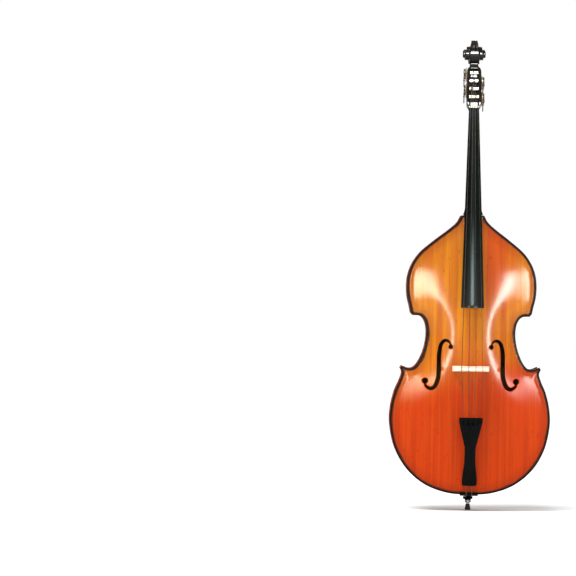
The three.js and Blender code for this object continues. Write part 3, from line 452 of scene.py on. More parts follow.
def loft(rings, caps=True):
    """Vertices and faces of a skin over rings with equal counts."""
    rings = np.asarray(rings, float)
    rows, count = rings.shape[:2]
    faces = [
        (r * count + i, r * count + (i + 1) % count, (r + 1) * count + (i + 1) % count, (r + 1) * count + i)
        for r in range(rows - 1)
        for i in range(count)
    ]
    if caps:
        faces += [tuple(range(count))[::-1], tuple(range((rows - 1) * count, rows * count))]
    return rings.reshape(-1, 3), faces


def joined(*parts):
    """Several (vertices, faces) in one."""
    verts, faces, first = [], [], 0
    for v, f in parts:
        verts.append(np.asarray(v, float))
        faces += [tuple(int(i) + first for i in face) for face in f]
        first += len(v)
    return np.vstack(verts), faces


def moved(part, matrix):
    verts = np.asarray(part[0], float)
    turn = np.array(matrix)
    return verts @ turn[:3, :3].T + turn[:3, 3], part[1]


def lathe(profile, steps):
    """A turned piece about +Z from (radius, height) pairs; a zero radius closes it."""
    return loft([[(r * math.cos(a), r * math.sin(a), h) for a in around(steps)] for r, h in profile])


def cylinder(radius, low, high, steps=24):
    return lathe([(0, low), (radius, low), (radius, high), (0, high)], steps)


def run_along(path):
    """The distance travelled along a path at each of its points."""
    return np.concatenate([[0], np.cumsum(np.linalg.norm(np.diff(path, axis=0), axis=1))])


def frames_along(path):
    """Tangent and two side directions at each point of a path, without twist."""
    path = np.asarray(path, float)
    way = np.gradient(path, axis=0)
    way /= np.linalg.norm(way, axis=1)[:, None]
    side = np.cross(way[0], (0.31, 0.2, 0.93) if abs(way[0][2]) < 0.9 else (1, 0.1, 0))
    sides, ups = [], []
    for t in way:
        side = side - t * (side @ t)
        side /= np.linalg.norm(side)
        sides.append(side)
        ups.append(np.cross(t, side))
    return way, np.array(sides), np.array(ups)


def tube(path, radius, steps):
    """A round tube, with its grain running along it. radius is one number or one for each point."""
    path = np.asarray(path, float)
    radius = np.broadcast_to(radius, len(path))
    _, sides, ups = frames_along(path)
    angles = around(steps)
    rings = [
        [p + r * (math.cos(a) * s + math.sin(a) * u) for a in angles]
        for p, r, s, u in zip(path, radius, sides, ups)
    ]
    grain = [[(r * math.cos(a), r * math.sin(a), k) for a in angles] for r, k in zip(radius, run_along(path))]
    verts, faces = loft(rings)
    return verts, faces, np.array(grain).reshape(-1, 3)


def reworked(mesh, step):
    """Runs one step over the whole of a mesh, in place."""
    work = bmesh.new()
    work.from_mesh(mesh)
    step(work)
    work.to_mesh(mesh)
    work.free()


def face_outwards(work):
    bmesh.ops.recalc_face_normals(work, faces=work.faces)


def merge_doubles(work):
    bmesh.ops.remove_doubles(work, verts=work.verts, dist=1e-4)


def taken(mesh):
    """The vertices and faces of a mesh that isn't needed any more."""
    verts = np.array([v.co[:] for v in mesh.vertices])
    faces = [tuple(p.vertices) for p in mesh.polygons]
    bpy.data.meshes.remove(mesh)
    return verts, faces


def cutout(loops, thickness, bevel, fine=2):
    """A flat plate on outlines in its own (u, v) plane, centred on w = 0, with bevelled edges."""
    curve = bpy.data.curves.new("cutout", "CURVE")
    curve.dimensions, curve.fill_mode = "2D", "BOTH"
    curve.extrude = thickness / 2 - bevel
    curve.bevel_depth = bevel
    curve.bevel_resolution = fine
    curve.offset = -bevel
    for loop in loops:
        strand = curve.splines.new("POLY")
        strand.points.add(len(loop) - 1)
        for point, (u, v) in zip(strand.points, loop):
            point.co = (u, v, 0, 1)
        strand.use_cyclic_u = True
    holder = bpy.data.objects.new("cutout", curve)
    mesh = bpy.data.meshes.new_from_object(holder)
    reworked(mesh, merge_doubles)
    bpy.data.objects.remove(holder)
    bpy.data.curves.remove(curve)
    return taken(mesh)


def scratch(part, name="scratch"):
    """A temporary object from a part, in millimetres, with its faces turned outwards."""
    mesh = bpy.data.meshes.new(name)
    mesh.from_pydata(np.asarray(part[0]).tolist(), [], [tuple(int(i) for i in f) for f in part[1]])
    reworked(mesh, face_outwards)
    made = bpy.data.objects.new(name, mesh)
    bpy.context.scene.collection.objects.link(made)
    return made


def settled(made):
    """The part that a temporary object's modifiers make; the object is removed."""
    shown = made.evaluated_get(bpy.context.evaluated_depsgraph_get())
    mesh = bpy.data.meshes.new_from_object(shown)
    bpy.data.objects.remove(made)
    return taken(mesh)


def cut(part, *cutters):
    made = scratch(part)
    tools = [scratch(c, "cutter") for c in cutters]
    for tool in tools:
        step = made.modifiers.new("cut", "BOOLEAN")
        step.object, step.operation, step.solver = tool, "DIFFERENCE", "EXACT"
    result = settled(made)
    for tool in tools:
        bpy.data.objects.remove(tool)
    return result


def carved(parts, voxel, smoothing):
    """Overlapping closed parts melted into one surface and rubbed smooth."""
    made = scratch(joined(*parts))
    melt = made.modifiers.new("melt", "REMESH")
    melt.mode, melt.voxel_size, melt.adaptivity = "VOXEL", voxel, 0.0
    return rub(made, smoothing)


def rub(made, times):
    """What a temporary object gives when each point is drawn a few times towards its neighbours."""
    smooth = made.modifiers.new("rub", "SMOOTH")
    smooth.factor, smooth.iterations = 0.5, times
    return settled(made)


def rounded(part, width, segments, angle):
    """The part with its sharp edges rounded."""
    made = scratch(part)
    step = made.modifiers.new("round", "BEVEL")
    step.width = width
    step.segments = segments
    step.limit_method = "ANGLE"
    step.angle_limit = math.radians(angle)
    step.use_clamp_overlap = True
    return settled(made)


def closed_piece(name, part, material, body="body", grain=None, replaces=(), sharp=35):
    """A finished piece from a closed part, faces turned outwards."""
    made = piece(name, part[0], part[1], material, body, grain=grain, sharp=180)
    reworked(made.data, face_outwards)
    made.data.set_sharp_from_angle(angle=math.radians(sharp))
    if replaces:
        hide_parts(*([replaces] if isinstance(replaces, str) else replaces))
    return made


def box_part(x0, x1, y0, y1, z0, z1):
    return loft([[(x0, y0, z), (x1, y0, z), (x1, y1, z), (x0, y1, z)] for z in (z0, z1)])


# ---------------------------------------------------------------- outline

lower_line = spline(LOWER_BOUT, 90)
waist_line = spline(WAIST, 64)
upper_line = spline(UPPER_BOUT, 72)
half_outline = np.vstack([lower_line, waist_line, upper_line])
outline = np.vstack([half_outline, mirrored(half_outline[1:])])


def taper(z):
    return TAPER_DEPTH * np.clip((np.asarray(z) - TAPER_START) / (BODY_LENGTH - TAPER_START), 0, None) ** 2


def sound_hole(side):
    """The outlines that together cut one sound hole: a tapered stem and two round eyes."""
    stem = spline(F_STEM, 70)
    widths = np.interp(
        np.linspace(0, len(F_HALF_WIDTHS) - 1, len(stem)), range(len(F_HALF_WIDTHS)), F_HALF_WIDTHS
    )
    left, right = (offset_line(stem, 1.0) - stem, offset_line(stem, -1.0) - stem)
    loop = np.vstack([stem + left * widths[:, None], (stem + right * widths[:, None])[::-1]])
    nick = np.array([[118, 512], [137, 505], [118, 498]], float)
    loops = [loop, circle(F_UPPER_EYE, F_UPPER_RADIUS, 32), circle(F_LOWER_EYE, F_LOWER_RADIUS, 36), nick]
    return [l * [side, 1] for l in loops]


# ---------------------------------------------------------------- carved plates

EDGE_RINGS, HOLE_RINGS = [0.7, 1.8, 3.4, 7.0, 7.8, 8.8, 9.6, 12, 16, 21], [0.8, 3.0, 7.0]
RING_KEPT = 0.96  # a ring's points are left out where they lie nearer the edge than this share of its offset
PURFLING = [(7.0, 7.8, 1), (7.8, 8.8, 2), (8.8, 9.6, 1)]  # from, to, and the index of the material
BARE_SIDE = 3  # the index of the material inside the box
PLATE_GRID = 9.0
OUTER_EDGE_RADIUS, INNER_EDGE_RADIUS, CHANNEL_WIDTH, CHANNEL_DEPTH = 3.4, 2.4, 17, 1.1
HOLE_LIP = 0.8
ON_EDGE = 0.01  # a point nearer the outline than this lies on it
MEMBRANE_STEPS, MEMBRANE_LEFT = 900, 1e-14


class Sheet:
    """A triangulated plan of a plate, with rings of points that follow its edge and its holes."""

    def __init__(self, outline, holes=(), notches=()):
        self.outline, self.holes = outline, list(holes)
        points, edges = [], []

        def add(line, keep=None):
            """Puts in a closed line, leaving out the points that aren't kept."""
            keep = np.ones(len(line), bool) if keep is None else keep
            first = sum(len(p) for p in points)
            number = np.cumsum(keep) - 1 + first
            points.append(line[keep])
            pairs = zip(range(len(line)), [*range(1, len(line)), 0])
            edges.extend((int(number[i]), int(number[j])) for i, j in pairs if keep[i] and keep[j])

        add(outline)
        for ring in EDGE_RINGS:
            line = offset_loop(outline, ring)
            add(line, self.edge_distance(line) > ring * RING_KEPT)
        for loop in [*self.holes, *notches]:
            add(loop)
        for ring in HOLE_RINGS:
            for loop in self.holes:
                turn = np.sum(loop[:, 0] * np.roll(loop[:, 1], -1) - np.roll(loop[:, 0], -1) * loop[:, 1])
                line = offset_loop(loop, -ring if turn > 0 else ring)
                add(line, (self.hole_distance(line) > ring * RING_KEPT) & (self.edge_distance(line) > 1))
        low, high = outline.min(0), outline.max(0)
        rows = np.arange(low[1], high[1], PLATE_GRID * 0.866)
        grid = []
        for k, z in enumerate(rows):
            shift = 0.5 * PLATE_GRID * (k % 2)
            xs = np.arange(0, high[0], PLATE_GRID) + shift
            grid += [(x, z) for x in xs] + [(-x, z) for x in xs if x > 0]
        grid = np.array(grid)
        good = inside(grid, outline) & (self.edge_distance(grid) > EDGE_RINGS[-1] + 4)
        if self.holes:
            good &= self.hole_distance(grid) > HOLE_RINGS[-1] + 4
        points.append(grid[good])
        spread = np.vstack(points)
        verts, _, faces, *_ = delaunay_2d_cdt([Vector(p) for p in spread], edges, [], 0, 1e-5)
        self.points = np.array([(v.x, v.y) for v in verts])
        self.faces = np.array(faces)
        centres = self.points[self.faces].mean(1)
        self.faces = self.faces[inside(centres, outline)]
        centres = self.points[self.faces].mean(1)
        self.open = np.zeros(len(self.faces), bool)
        for loop in [*self.holes, *notches]:
            self.open |= inside(centres, loop)

    def edge_distance(self, points):
        return distance_to(points, self.outline)

    def hole_distance(self, points):
        """Distance to the nearest hole, negative inside one."""
        best = np.full(len(points), 1e9)
        for loop in self.holes:
            gap = distance_to(points, loop)
            best = np.minimum(best, np.where(inside(points, loop), -gap, gap))
        return best


def membrane(sheet, held):
    """Height of an evenly loaded membrane over the sheet, zero at the held points, by conjugate gradients."""
    p, f = sheet.points, sheet.faces
    rows, columns, weights = [], [], []
    for k in range(3):
        a, b, c = f[:, k], f[:, (k + 1) % 3], f[:, (k + 2) % 3]
        u, v = p[a] - p[c], p[b] - p[c]
        cross = np.abs(u[:, 0] * v[:, 1] - u[:, 1] * v[:, 0])
        rows.append(a)
        columns.append(b)
        weights.append(0.5 * (u * v).sum(1) / np.maximum(cross, 1e-9))
    i, j, w = np.concatenate(rows), np.concatenate(columns), np.concatenate(weights)
    area = np.zeros(len(p))
    corner = p[f]
    size = np.abs(np.cross(corner[:, 1] - corner[:, 0], corner[:, 2] - corner[:, 0])) / 6
    for k in range(3):
        np.add.at(area, f[:, k], size)
    diagonal = np.bincount(i, w, len(p)) + np.bincount(j, w, len(p))
    free = ~held & (diagonal > 0)

    def product(x):
        y = diagonal * x - np.bincount(i, w * x[j], len(p)) - np.bincount(j, w * x[i], len(p))
        return np.where(free, y, 0)

    x = np.zeros(len(p))
    r = np.where(free, area, 0)
    scale = np.where(free, 1 / np.where(diagonal > 0, diagonal, 1), 0)
    d = z = scale * r
    rz = r @ z
    for _ in range(MEMBRANE_STEPS):
        q = product(d)
        step = rz / (d @ q)
        x, r = x + step * d, r - step * q
        z = scale * r
        rz, old = r @ z, rz
        if rz < MEMBRANE_LEFT * area.sum():
            break
        d = z + rz / old * d
    return x


def arching(sheet, held):
    """Rise of the carved arch at every point of the sheet."""
    height = membrane(sheet, held)
    ridge = np.abs(sheet.points[:, 0]) < 1e-6
    order = np.argsort(sheet.points[ridge, 1])
    crest = np.interp(sheet.points[:, 1], sheet.points[ridge, 1][order], height[ridge][order])
    share = np.clip(height / np.maximum(crest, 1e-6), 0, 1.02)
    along = np.clip(1 - np.abs(2 * sheet.points[:, 1] / BODY_LENGTH - 1) ** LONG_POWER, 0, 1)
    return ARCH_HEIGHT * along * share**CROSS_POWER


def edge_drop(distance, radius):
    """How far the rounded edge falls away, and the hollow channel inside it."""
    near = np.clip(radius - distance, 0, radius)
    channel = np.sin(np.pi * np.clip((distance - radius) / CHANNEL_WIDTH, 0, 1)) ** 2
    return radius - np.sqrt(radius**2 - near**2) + CHANNEL_DEPTH * channel


def plate(name, sheet, front, rear, faces_front, wood, slot):
    """A plate between two surfaces, with rounded edges and a three-line inlay round its outer side."""
    x, z = sheet.points.T
    edge = sheet.edge_distance(sheet.points)
    lip = HOLE_LIP - np.clip(sheet.hole_distance(sheet.points), 0, HOLE_LIP)
    rounding = edge_drop(edge, OUTER_EDGE_RADIUS)
    shallow = np.where(edge < INNER_EDGE_RADIUS, edge_drop(edge, INNER_EDGE_RADIUS), 0)
    front_fall, rear_fall = (rounding, shallow) if faces_front else (shallow, rounding)
    near = np.column_stack([x, front + front_fall + lip, z])
    far = np.column_stack([x, rear - rear_fall - lip, z])
    faces = sheet.faces[~sheet.open]
    count = len(x)
    a, b, c = (sheet.points[faces[:, k]] for k in range(3))
    wound = np.cross(b - a, c - a) < 0
    faces[wound] = faces[wound][:, ::-1]
    sides = np.vstack([faces[:, [0, 1]], faces[:, [1, 2]], faces[:, [2, 0]]])
    code = sides[:, 0].astype(np.int64) * count + sides[:, 1]
    back = sides[:, 1].astype(np.int64) * count + sides[:, 0]
    rim = sides[~np.isin(code, back)]
    quads = [(int(i), int(i) + count, int(j) + count, int(j)) for i, j in rim]
    centre = edge[faces].mean(1)
    on_edge = edge[rim[:, 0]] < ON_EDGE
    shown, hidden = np.zeros(len(faces), int), np.full(len(faces), BARE_SIDE)
    for low, high, index in PURFLING:
        shown[(centre > low) & (centre < high)] = index
    hidden[centre < OVERHANG + 1.5] = 0
    outer, inner = (shown, hidden) if faces_front else (hidden, shown)
    everything = [tuple(f) for f in faces] + [tuple(f[::-1] + count) for f in faces] + quads
    face_materials = np.concatenate([outer, inner, np.where(on_edge, 0, BARE_SIDE)])
    grain = np.column_stack([np.abs(np.tile(x, 2)), np.zeros(2 * count), np.tile(z, 2)])
    return piece(
        name, np.vstack([near, far]), everything, [wood, INLAY_DARK, INLAY_PALE, BARE_SPRUCE],
        grain=grain, face_materials=face_materials, sharp=50, data={"edge": np.tile(edge, 2)},
    )


holes = sound_hole(1) + sound_hole(-1)


def notch(half, low, high):
    return np.array([(-half, low), (half, low), (half, high), (-half, high)])


neck_notch = notch(HEEL_HALF + CAD_GAP, HEEL_SEAT - CAD_GAP, 1130)
saddle_notch = notch(SADDLE_HALF + CAD_GAP, -12, SADDLE_HEIGHT + CAD_GAP)
top_sheet = Sheet(outline, holes, [neck_notch, saddle_notch])
rise = arching(top_sheet, top_sheet.edge_distance(top_sheet.points) < ON_EDGE)
top = plate(
    "carved_top", top_sheet, RIB_FRONT - EDGE_THICKNESS - rise, RIB_FRONT - np.maximum(0, rise - PLATE_GAIN),
    True, SPRUCE, "varnished_spruce",
)
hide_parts("top_plate")

button_turn = np.linspace(0.05, math.pi - 0.05, 26)
button = [(BUTTON_RADIUS * math.cos(t), BUTTON_Z + BUTTON_RADIUS * math.sin(t)) for t in button_turn]
shoulder = [(46, BODY_LENGTH), (34, BODY_LENGTH + 0.5), (30, BODY_LENGTH + 3)]
back_half = np.vstack([half_outline[:-1], shoulder])
back_sheet = Sheet(np.vstack([back_half, button, mirrored(back_half[1:])]))
back_held = back_sheet.edge_distance(back_sheet.points) < ON_EDGE
back_held |= back_sheet.points[:, 1] > BODY_LENGTH - 1
back_rise = arching(back_sheet, back_held)
slope = taper(back_sheet.points[:, 1])
back = plate(
    "carved_back", back_sheet, RIB_BACK - slope + np.maximum(0, back_rise - PLATE_GAIN),
    RIB_BACK - slope + EDGE_THICKNESS + back_rise, False, MAPLE, "varnished_maple",
)
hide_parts("back_plate")

# ---------------------------------------------------------------- ribs

RIB_STEPS, RIB_GAP, RIB_DEPTHS = 110, 0.2, (0, 0.33, 0.67, 1)
DRAWN_OUT, NEAR_END = 16, 40  # what is added to two lines that meet, and how many of their points are tried


def meet(a, b):
    """Where the end of line a crosses the start of line b, both drawn out a little, as (a cut, b cut)."""
    a = np.vstack([a, a[-1] + (a[-1] - a[-3]) / np.linalg.norm(a[-1] - a[-3]) * DRAWN_OUT])
    b = np.vstack([b[0] + (b[0] - b[2]) / np.linalg.norm(b[0] - b[2]) * DRAWN_OUT, b])
    for i in range(len(a) - 1, max(len(a) - NEAR_END, 0), -1):
        for j in range(min(NEAR_END, len(b) - 1)):
            p, r = a[i - 1], a[i] - a[i - 1]
            q, s = b[j], b[j + 1] - b[j]
            cross = r[0] * s[1] - r[1] * s[0]
            if abs(cross) < 1e-9:
                continue
            t = ((q - p)[0] * s[1] - (q - p)[1] * s[0]) / cross
            u = ((q - p)[0] * r[1] - (q - p)[1] * r[0]) / cross
            if 0 <= t <= 1 and 0 <= u <= 1:
                return np.vstack([a[:i], p + t * r]), np.vstack([p + t * r, b[j + 1 :]])
    return a, b


def rib_lines(inset):
    lower, waist, upper = (offset_line(line, inset) for line in (lower_line, waist_line, upper_line))
    lower, waist = meet(lower, waist)
    waist, upper = meet(waist, upper)
    return lower, waist, upper[upper[:, 0] > HEEL_HALF + CAD_GAP]


def resampled(line, count):
    """Evenly spaced points on a line, and how far along it each one lies."""
    run = run_along(line)
    at = np.linspace(0, run[-1], count)
    return np.column_stack([np.interp(at, run, line[:, 0]), np.interp(at, run, line[:, 1])]), at


def rib(name, outer, inner, side, replaces):
    """A bent strip between its outer and inner lines, from the front plate back to the sloping rear one."""
    outer, run = resampled(outer, RIB_STEPS)
    inner, _ = resampled(inner, RIB_STEPS)
    rings, grain = [], []
    front = RIB_FRONT + RIB_GAP
    for (xo, zo), (xi, zi), along in zip(outer, inner, run):
        rears = [RIB_BACK - float(taper(z)) - RIB_GAP for z in (zo, zi)]
        ring = [(xo * side, front + (rears[0] - front) * t, zo) for t in RIB_DEPTHS]
        ring += [(xi * side, front + (rears[1] - front) * t, zi) for t in RIB_DEPTHS[::-1]]
        rings.append(ring)
        grain.append([(p[1] * side, 0, along) for p in ring])
    grain = np.array(grain).reshape(-1, 3)
    closed_piece(
        name, loft(rings), RIB_MAPLE, grain=grain, replaces=replaces, sharp=40
    )


for label, outer, inner in zip(
    ("lower", "middle", "upper"), rib_lines(OVERHANG), rib_lines(OVERHANG + RIB_THICKNESS)
):
    for hand, side in (("treble", 1), ("bass", -1)):
        rib(f"bent_rib_{label}_{hand}", outer, inner, side, f"rib_{label}_{hand}")

# ---------------------------------------------------------------- fingerboard and nut

NECK_SLOPE = (NUT_Y - BOARD_END_Y) / (NUT_Z - BOARD_END_Z)


def board_crown(z):
    return NUT_Y - NECK_SLOPE * (NUT_Z - z)


def board_half(z):
    return NUT_HALF + (BOARD_END_HALF - NUT_HALF) * (NUT_Z - z) / (NUT_Z - BOARD_END_Z)


def crown_rise(z):
    return NUT_CROWN + (BOARD_END_CROWN - NUT_CROWN) * (NUT_Z - z) / (NUT_Z - BOARD_END_Z)


def glue_plane(z):
    return board_crown(z) + crown_rise(z) + BOARD_EDGE


def board_ring(z):
    """A section of the fingerboard: its crown, narrowed lower edges, and a hollow under the free end."""
    half, edge = board_half(z), glue_plane(z) - 2.5
    relief = 1.2 * math.sin(math.pi * (NUT_Z - z) / (NUT_Z - BOARD_END_Z))
    hollow = 10 * float(np.clip((1070 - z) / 60, 0, 1))
    crown = [(half * s, board_crown(z) + crown_rise(z) * s * s, z) for s in np.linspace(1, -1, 29)]
    ring = [(x, y + relief, z) for x, y, z in [(half - 0.2, edge, z), *crown, (-half + 0.2, edge, z)]]
    for s in np.linspace(-1, 1, 11):
        dip = hollow * max(0.0, 1 - (abs(s) / 0.72) ** 2)
        ring.append(((half - 1.2) * s, glue_plane(z) - dip, z))
    return ring


board_rings = [board_ring(z) for z in np.linspace(NUT_Z - CAD_GAP, BOARD_END_Z, 61)]
board = rounded(loft(board_rings), 1.4, 2, 42)
closed_piece("cambered_fingerboard", board, BOARD_EBONY, replaces="fingerboard", sharp=30)

NUT_THICKNESS, GROOVE_DEPTH = 3.6, 1.1
nut_rings = []
nut_seat = glue_plane(NUT_Z) - 0.6
for z in np.linspace(NUT_Z, NUT_Z + NUT_THICKNESS, 5):
    fall = 0.9 * ((z - NUT_Z) / NUT_THICKNESS) ** 2
    ring = []
    for x in np.linspace(NUT_HALF, -NUT_HALF, 83):
        y = board_crown(NUT_Z + 2) - 1.5 + 4 * (x / NUT_HALF) ** 2 + fall
        for string in STRINGS.values():
            gap, groove = abs(x - string["nut"]), string["radius"] + 0.5
            if gap < groove:
                y += GROOVE_DEPTH * math.cos(gap / groove * math.pi / 2)
        ring.append((x, y, z))
    ring += [(-NUT_HALF, nut_seat, z), (NUT_HALF, nut_seat, z)]
    nut_rings.append(ring)
closed_piece("grooved_nut", loft(nut_rings), BONE, replaces="nut", sharp=40)

# ---------------------------------------------------------------- neck and heel

NECK_STATIONS = [  # z, half width, depth
    (1575, 19.5, 22), (1552, 20, 26), (1500, 22, 30), (1420, 24.5, 31.5), (1330, 27, 33), (1270, 29, 35),
    (1230, 30, 38), (1200, 30.5, 44), (1175, 31, 56), (1155, 31, 78), (1143, 31, 112),
]
BOARD_LIP = 1  # how far the fingerboard stands out over the neck
SEAT_TOP = 1556  # the end of the neck's flat seat, just above the nut
HEEL_BACK = 61
neck_rings = []
stations = np.array(NECK_STATIONS)[::-1]
for z in np.linspace(BODY_LENGTH + 1.5, NECK_STATIONS[0][0], 100):
    flare = 12 * math.exp(-(z - BODY_LENGTH) / 20)
    half = np.interp(z, stations[:, 0], stations[:, 1]) - BOARD_LIP + flare
    depth = np.interp(z, stations[:, 0], stations[:, 2])
    seat = glue_plane(min(z, SEAT_TOP)) + CAD_GAP
    turn = np.linspace(math.pi, 0, 25)
    neck_rings.append([(math.cos(a) * half, seat + math.sin(a) ** 0.82 * depth, z) for a in turn])
heel_rings = []
heel_front = glue_plane(HEEL_SEAT)
for y in np.linspace(heel_front + CAD_GAP, HEEL_BACK, 40):
    share = (y - heel_front) / (HEEL_BACK - heel_front)
    half = HEEL_HALF - 3.5 * share**1.5
    top_z = 1136 + 44 * math.exp(-((y + 150) / 38) ** 2) + 12 * share**2
    low = HEEL_SEAT + 24 * float(np.clip((y + 105) / 10, 0, 1))
    arch = half * 0.55
    ring = [(half, y, low), (half, y, top_z - arch)]
    for a in np.linspace(0.15, math.pi - 0.15, 15):
        ring.append((half * math.cos(a), y, top_z - arch + arch * math.sin(a)))
    heel_rings.append([*ring, (-half, y, top_z - arch), (-half, y, low)])
neck_verts, neck_faces = carved([loft(neck_rings), loft(heel_rings)], 1.5, 9)
# The rubbed edges of the neck are drawn back to the fingerboard's seat
neck_z = neck_verts[:, 2]
seat = glue_plane(neck_z) + CAD_GAP
near_board = (neck_z > HEEL_SEAT - 4) & (neck_z < SEAT_TOP) & (neck_verts[:, 1] < seat + 1.2)
neck_verts[near_board, 1] = np.maximum(neck_verts[near_board, 1], seat[near_board])
closed_piece("carved_neck", (neck_verts, neck_faces), NECK_MAPLE, sharp=50)

# ---------------------------------------------------------------- pegbox and scroll

SCROLL_ACROSS, SCROLL_ALONG, SCROLL_RADIUS = -8, 185, 52
EYE_ANGLE = 5.45 * math.pi
SPIRAL_HALVES = [  # half turns, half width
    (-0.5, 17), (0.5, 16.5), (1.0, 18), (1.5, 22), (2, 26), (2.5, 30), (3, 34), (3.5, 38), (4.2, 42),
    (5.45, 46),
]


def spiral_radius(angle):
    """The spiral's radius, with the crown of the first turn standing a little proud."""
    crown = 7 * np.exp(-(((np.asarray(angle) - math.pi / 2) / 0.85) ** 2))
    return SCROLL_RADIUS * np.exp(-0.0790 * (np.asarray(angle) - math.pi / 2)) + crown


def spiral_half(angle):
    """Half width of the scroll along its spiral: it swells from the spine to the eye."""
    return np.interp(np.asarray(angle) / math.pi, *np.array(SPIRAL_HALVES).T)


def around_eye(angles, radii):
    """Points across and along the head, from their angles and distances about the scroll's eye."""
    return [(SCROLL_ACROSS + r * math.cos(a), SCROLL_ALONG + r * math.sin(a)) for a, r in zip(angles, radii)]


def spiral_layer(angle, x0, x1):
    """The region inside one turn of the spiral, from an angle on, as a slab between two x."""
    turn = np.linspace(angle, angle + 2 * math.pi, 60)
    radius = spiral_radius(np.minimum(turn, EYE_ANGLE + 1.2))
    return loft([[(x, u, v) for u, v in around_eye(turn, radius)] for x in (x0, x1)])


# The first half turn, up the back of the head and over to the top, then the turns that wind in to the eye
rise_angles = np.linspace(-0.30 * math.pi, 0.52 * math.pi, 34)
first_turn = [(SCROLL_ACROSS, SCROLL_ALONG), *around_eye(rise_angles, spiral_radius(rise_angles))]
head_parts = [
    loft([[(x, u, v) for u, v in first_turn] for x in (-17, 17)]),
    spiral_layer(0.5 * math.pi, -17, 17),
]
layer_angles = np.linspace(0.75 * math.pi, EYE_ANGLE, 58)
for low, high in zip(layer_angles[:-1], layer_angles[1:]):
    half = float(spiral_half(high))
    head_parts.append(spiral_layer(float(low), -half, half))

HEAD_SECTIONS = [  # along, half width, front, back
    (-66, 18.6, -3, 7), (-56, 19.8, -8, 12.5), (-46, 22, -11, 17.5), (-40, 24, -13, 21),
    (-34, 26.2, -15, 24.6), (-28, 28.2, -17, 27.4), (-20, 29.6, -19, 30), (0, 30, -19.5, 33),
    (40, 29.7, -18.5, 33), (80, 29.3, -17, 31), (110, 28.9, -15.5, 28.5), (118, 28.2, -15, 28),
    (125, 24.8, -14.8, 27.5), (132, 20.6, -15, 28), (139, 17.8, -15.5, 29.5), (146, 17, -16, 31),
    (160, 16.8, -17, 34),
]
sections = np.array(HEAD_SECTIONS, float)
FLOOR_DEPTH = [(-37, -12), (-34, -9), (-12, 20), (98, 20), (124, 11), (127, 6)]
WALL_INSIDE = [(-37, 16.5), (0, 20), (124, 15)]
CHIN_START, CHIN_END = -66, -34


def section_at(along):
    return [np.interp(along, sections[:, 0], sections[:, k]) for k in (1, 2, 3)]


def head_slab(start, end, steps, edges):
    """A loft along the head; edges(half, front, back, along) gives its two sides, its front and its rear."""
    rings = []
    for along in np.linspace(start, end, steps):
        x0, x1, y0, y1 = edges(*section_at(along), along)
        rings.append([(x0, y0, along), (x1, y0, along), (x1, y1, along), (x0, y1, along)])
    return loft(rings)


def whole_head(half, front, back, along):
    return -half, half, front, back


def pegbox_floor(half, front, back, along):
    return -half, half, float(np.interp(along, *np.array(FLOOR_DEPTH, float).T)), back


def right_cheek(half, front, back, along):
    return float(np.interp(along, *np.array(WALL_INSIDE, float).T)), half, front, back


def left_cheek(half, front, back, along):
    inner, outer, *rest = right_cheek(half, front, back, along)
    return -outer, -inner, *rest


def chin():
    """The foot of the pegbox, which changes from the neck's round section to the box's square one."""
    rings = []
    for along in np.linspace(CHIN_START, CHIN_END, 18):
        half, front, back = section_at(along)
        share = (along - CHIN_START) / (CHIN_END - CHIN_START)
        power = 2 / (2 + 12 * share**1.6)
        ring = []
        for a in np.linspace(math.pi, 0, 33):
            across = math.copysign(abs(math.cos(a)) ** power, math.cos(a)) * half
            ring.append((across, front + max(0.0, math.sin(a)) ** power * (back - front), along))
        rings.append(ring)
    return loft(rings)


head_parts += [
    chin(), head_slab(122.5, 160, 10, whole_head), head_slab(-37, 127, 50, pegbox_floor),
    head_slab(-37, 124, 50, left_cheek), head_slab(-37, 124, 50, right_cheek),
]
head_verts, head_faces = carved(head_parts, 1.25, 8)

# Flutes: a hollow along each turn of the scroll, and two down the back with a ridge between them
x, across, along = head_verts.T
angle = np.arctan2(along - SCROLL_ALONG, across - SCROLL_ACROSS)
radius = np.hypot(across - SCROLL_ACROSS, along - SCROLL_ALONG)
turns = np.full(len(x), np.nan)
top_level = np.zeros(len(x))
for k in range(4):
    wound = angle + 2 * math.pi * k
    outer, inner = spiral_radius(wound), spiral_radius(wound + 2 * math.pi)
    here = (radius <= outer) & (radius > inner)
    turns[here] = ((outer - radius) / (outer - inner))[here]
    top_level[here] = spiral_half(np.maximum(wound, 0.5 * math.pi))[here]
on_turn = ~np.isnan(turns) & (np.abs(x) > top_level - 2.2) & (radius > 15) & (along > 128)
hollow = 2.6 * np.sin(np.pi * np.clip(np.nan_to_num(turns), 0, 1)) ** 0.8
head_verts[on_turn, 0] -= np.sign(x[on_turn]) * hollow[on_turn]
half_here, _, back_here = section_at(along)
on_back = (across > back_here - 4) & (along > -40) & (along < 150) & (radius > 36)
channel = 2.6 * np.sin(np.pi * np.clip(np.abs(x) / np.maximum(half_here, 1), 0, 1)) ** 2
fade = np.clip((along + 40) / 30, 0, 1) * np.clip((150 - along) / 15, 0, 1)
head_verts[on_back, 1] -= (channel * fade)[on_back]
on_spine = (radius > SCROLL_RADIUS - 14) & (angle > -0.1) & (np.abs(x) < 15.2) & (along > 150)
on_spine &= radius > spiral_radius(np.where(angle < 0, angle + 2 * math.pi, angle)) - 3
spine_channel = 2.0 * np.sin(np.pi * np.clip(np.abs(x) / 15.5, 0, 1)) ** 2
for k, way in ((1, np.cos(angle)), (2, np.sin(angle))):
    head_verts[on_spine, k] -= (spine_channel * way)[on_spine]

rim = np.clip((radius - 38) / 18, 0, 1) * np.clip(np.sin(angle) * 1.6, 0, 1) * (along > 190)
head_verts[:, 0] *= 1 - 0.30 * rim * rim
head_part = moved(rub(scratch((head_verts, head_faces)), 3), HEAD)
closed_piece("carved_head", head_part, NECK_MAPLE, replaces="neck", sharp=60)

# ---------------------------------------------------------------- bridge

TOP_SURFACE = RIB_FRONT - EDGE_THICKNESS
FOOT_REACH = 82


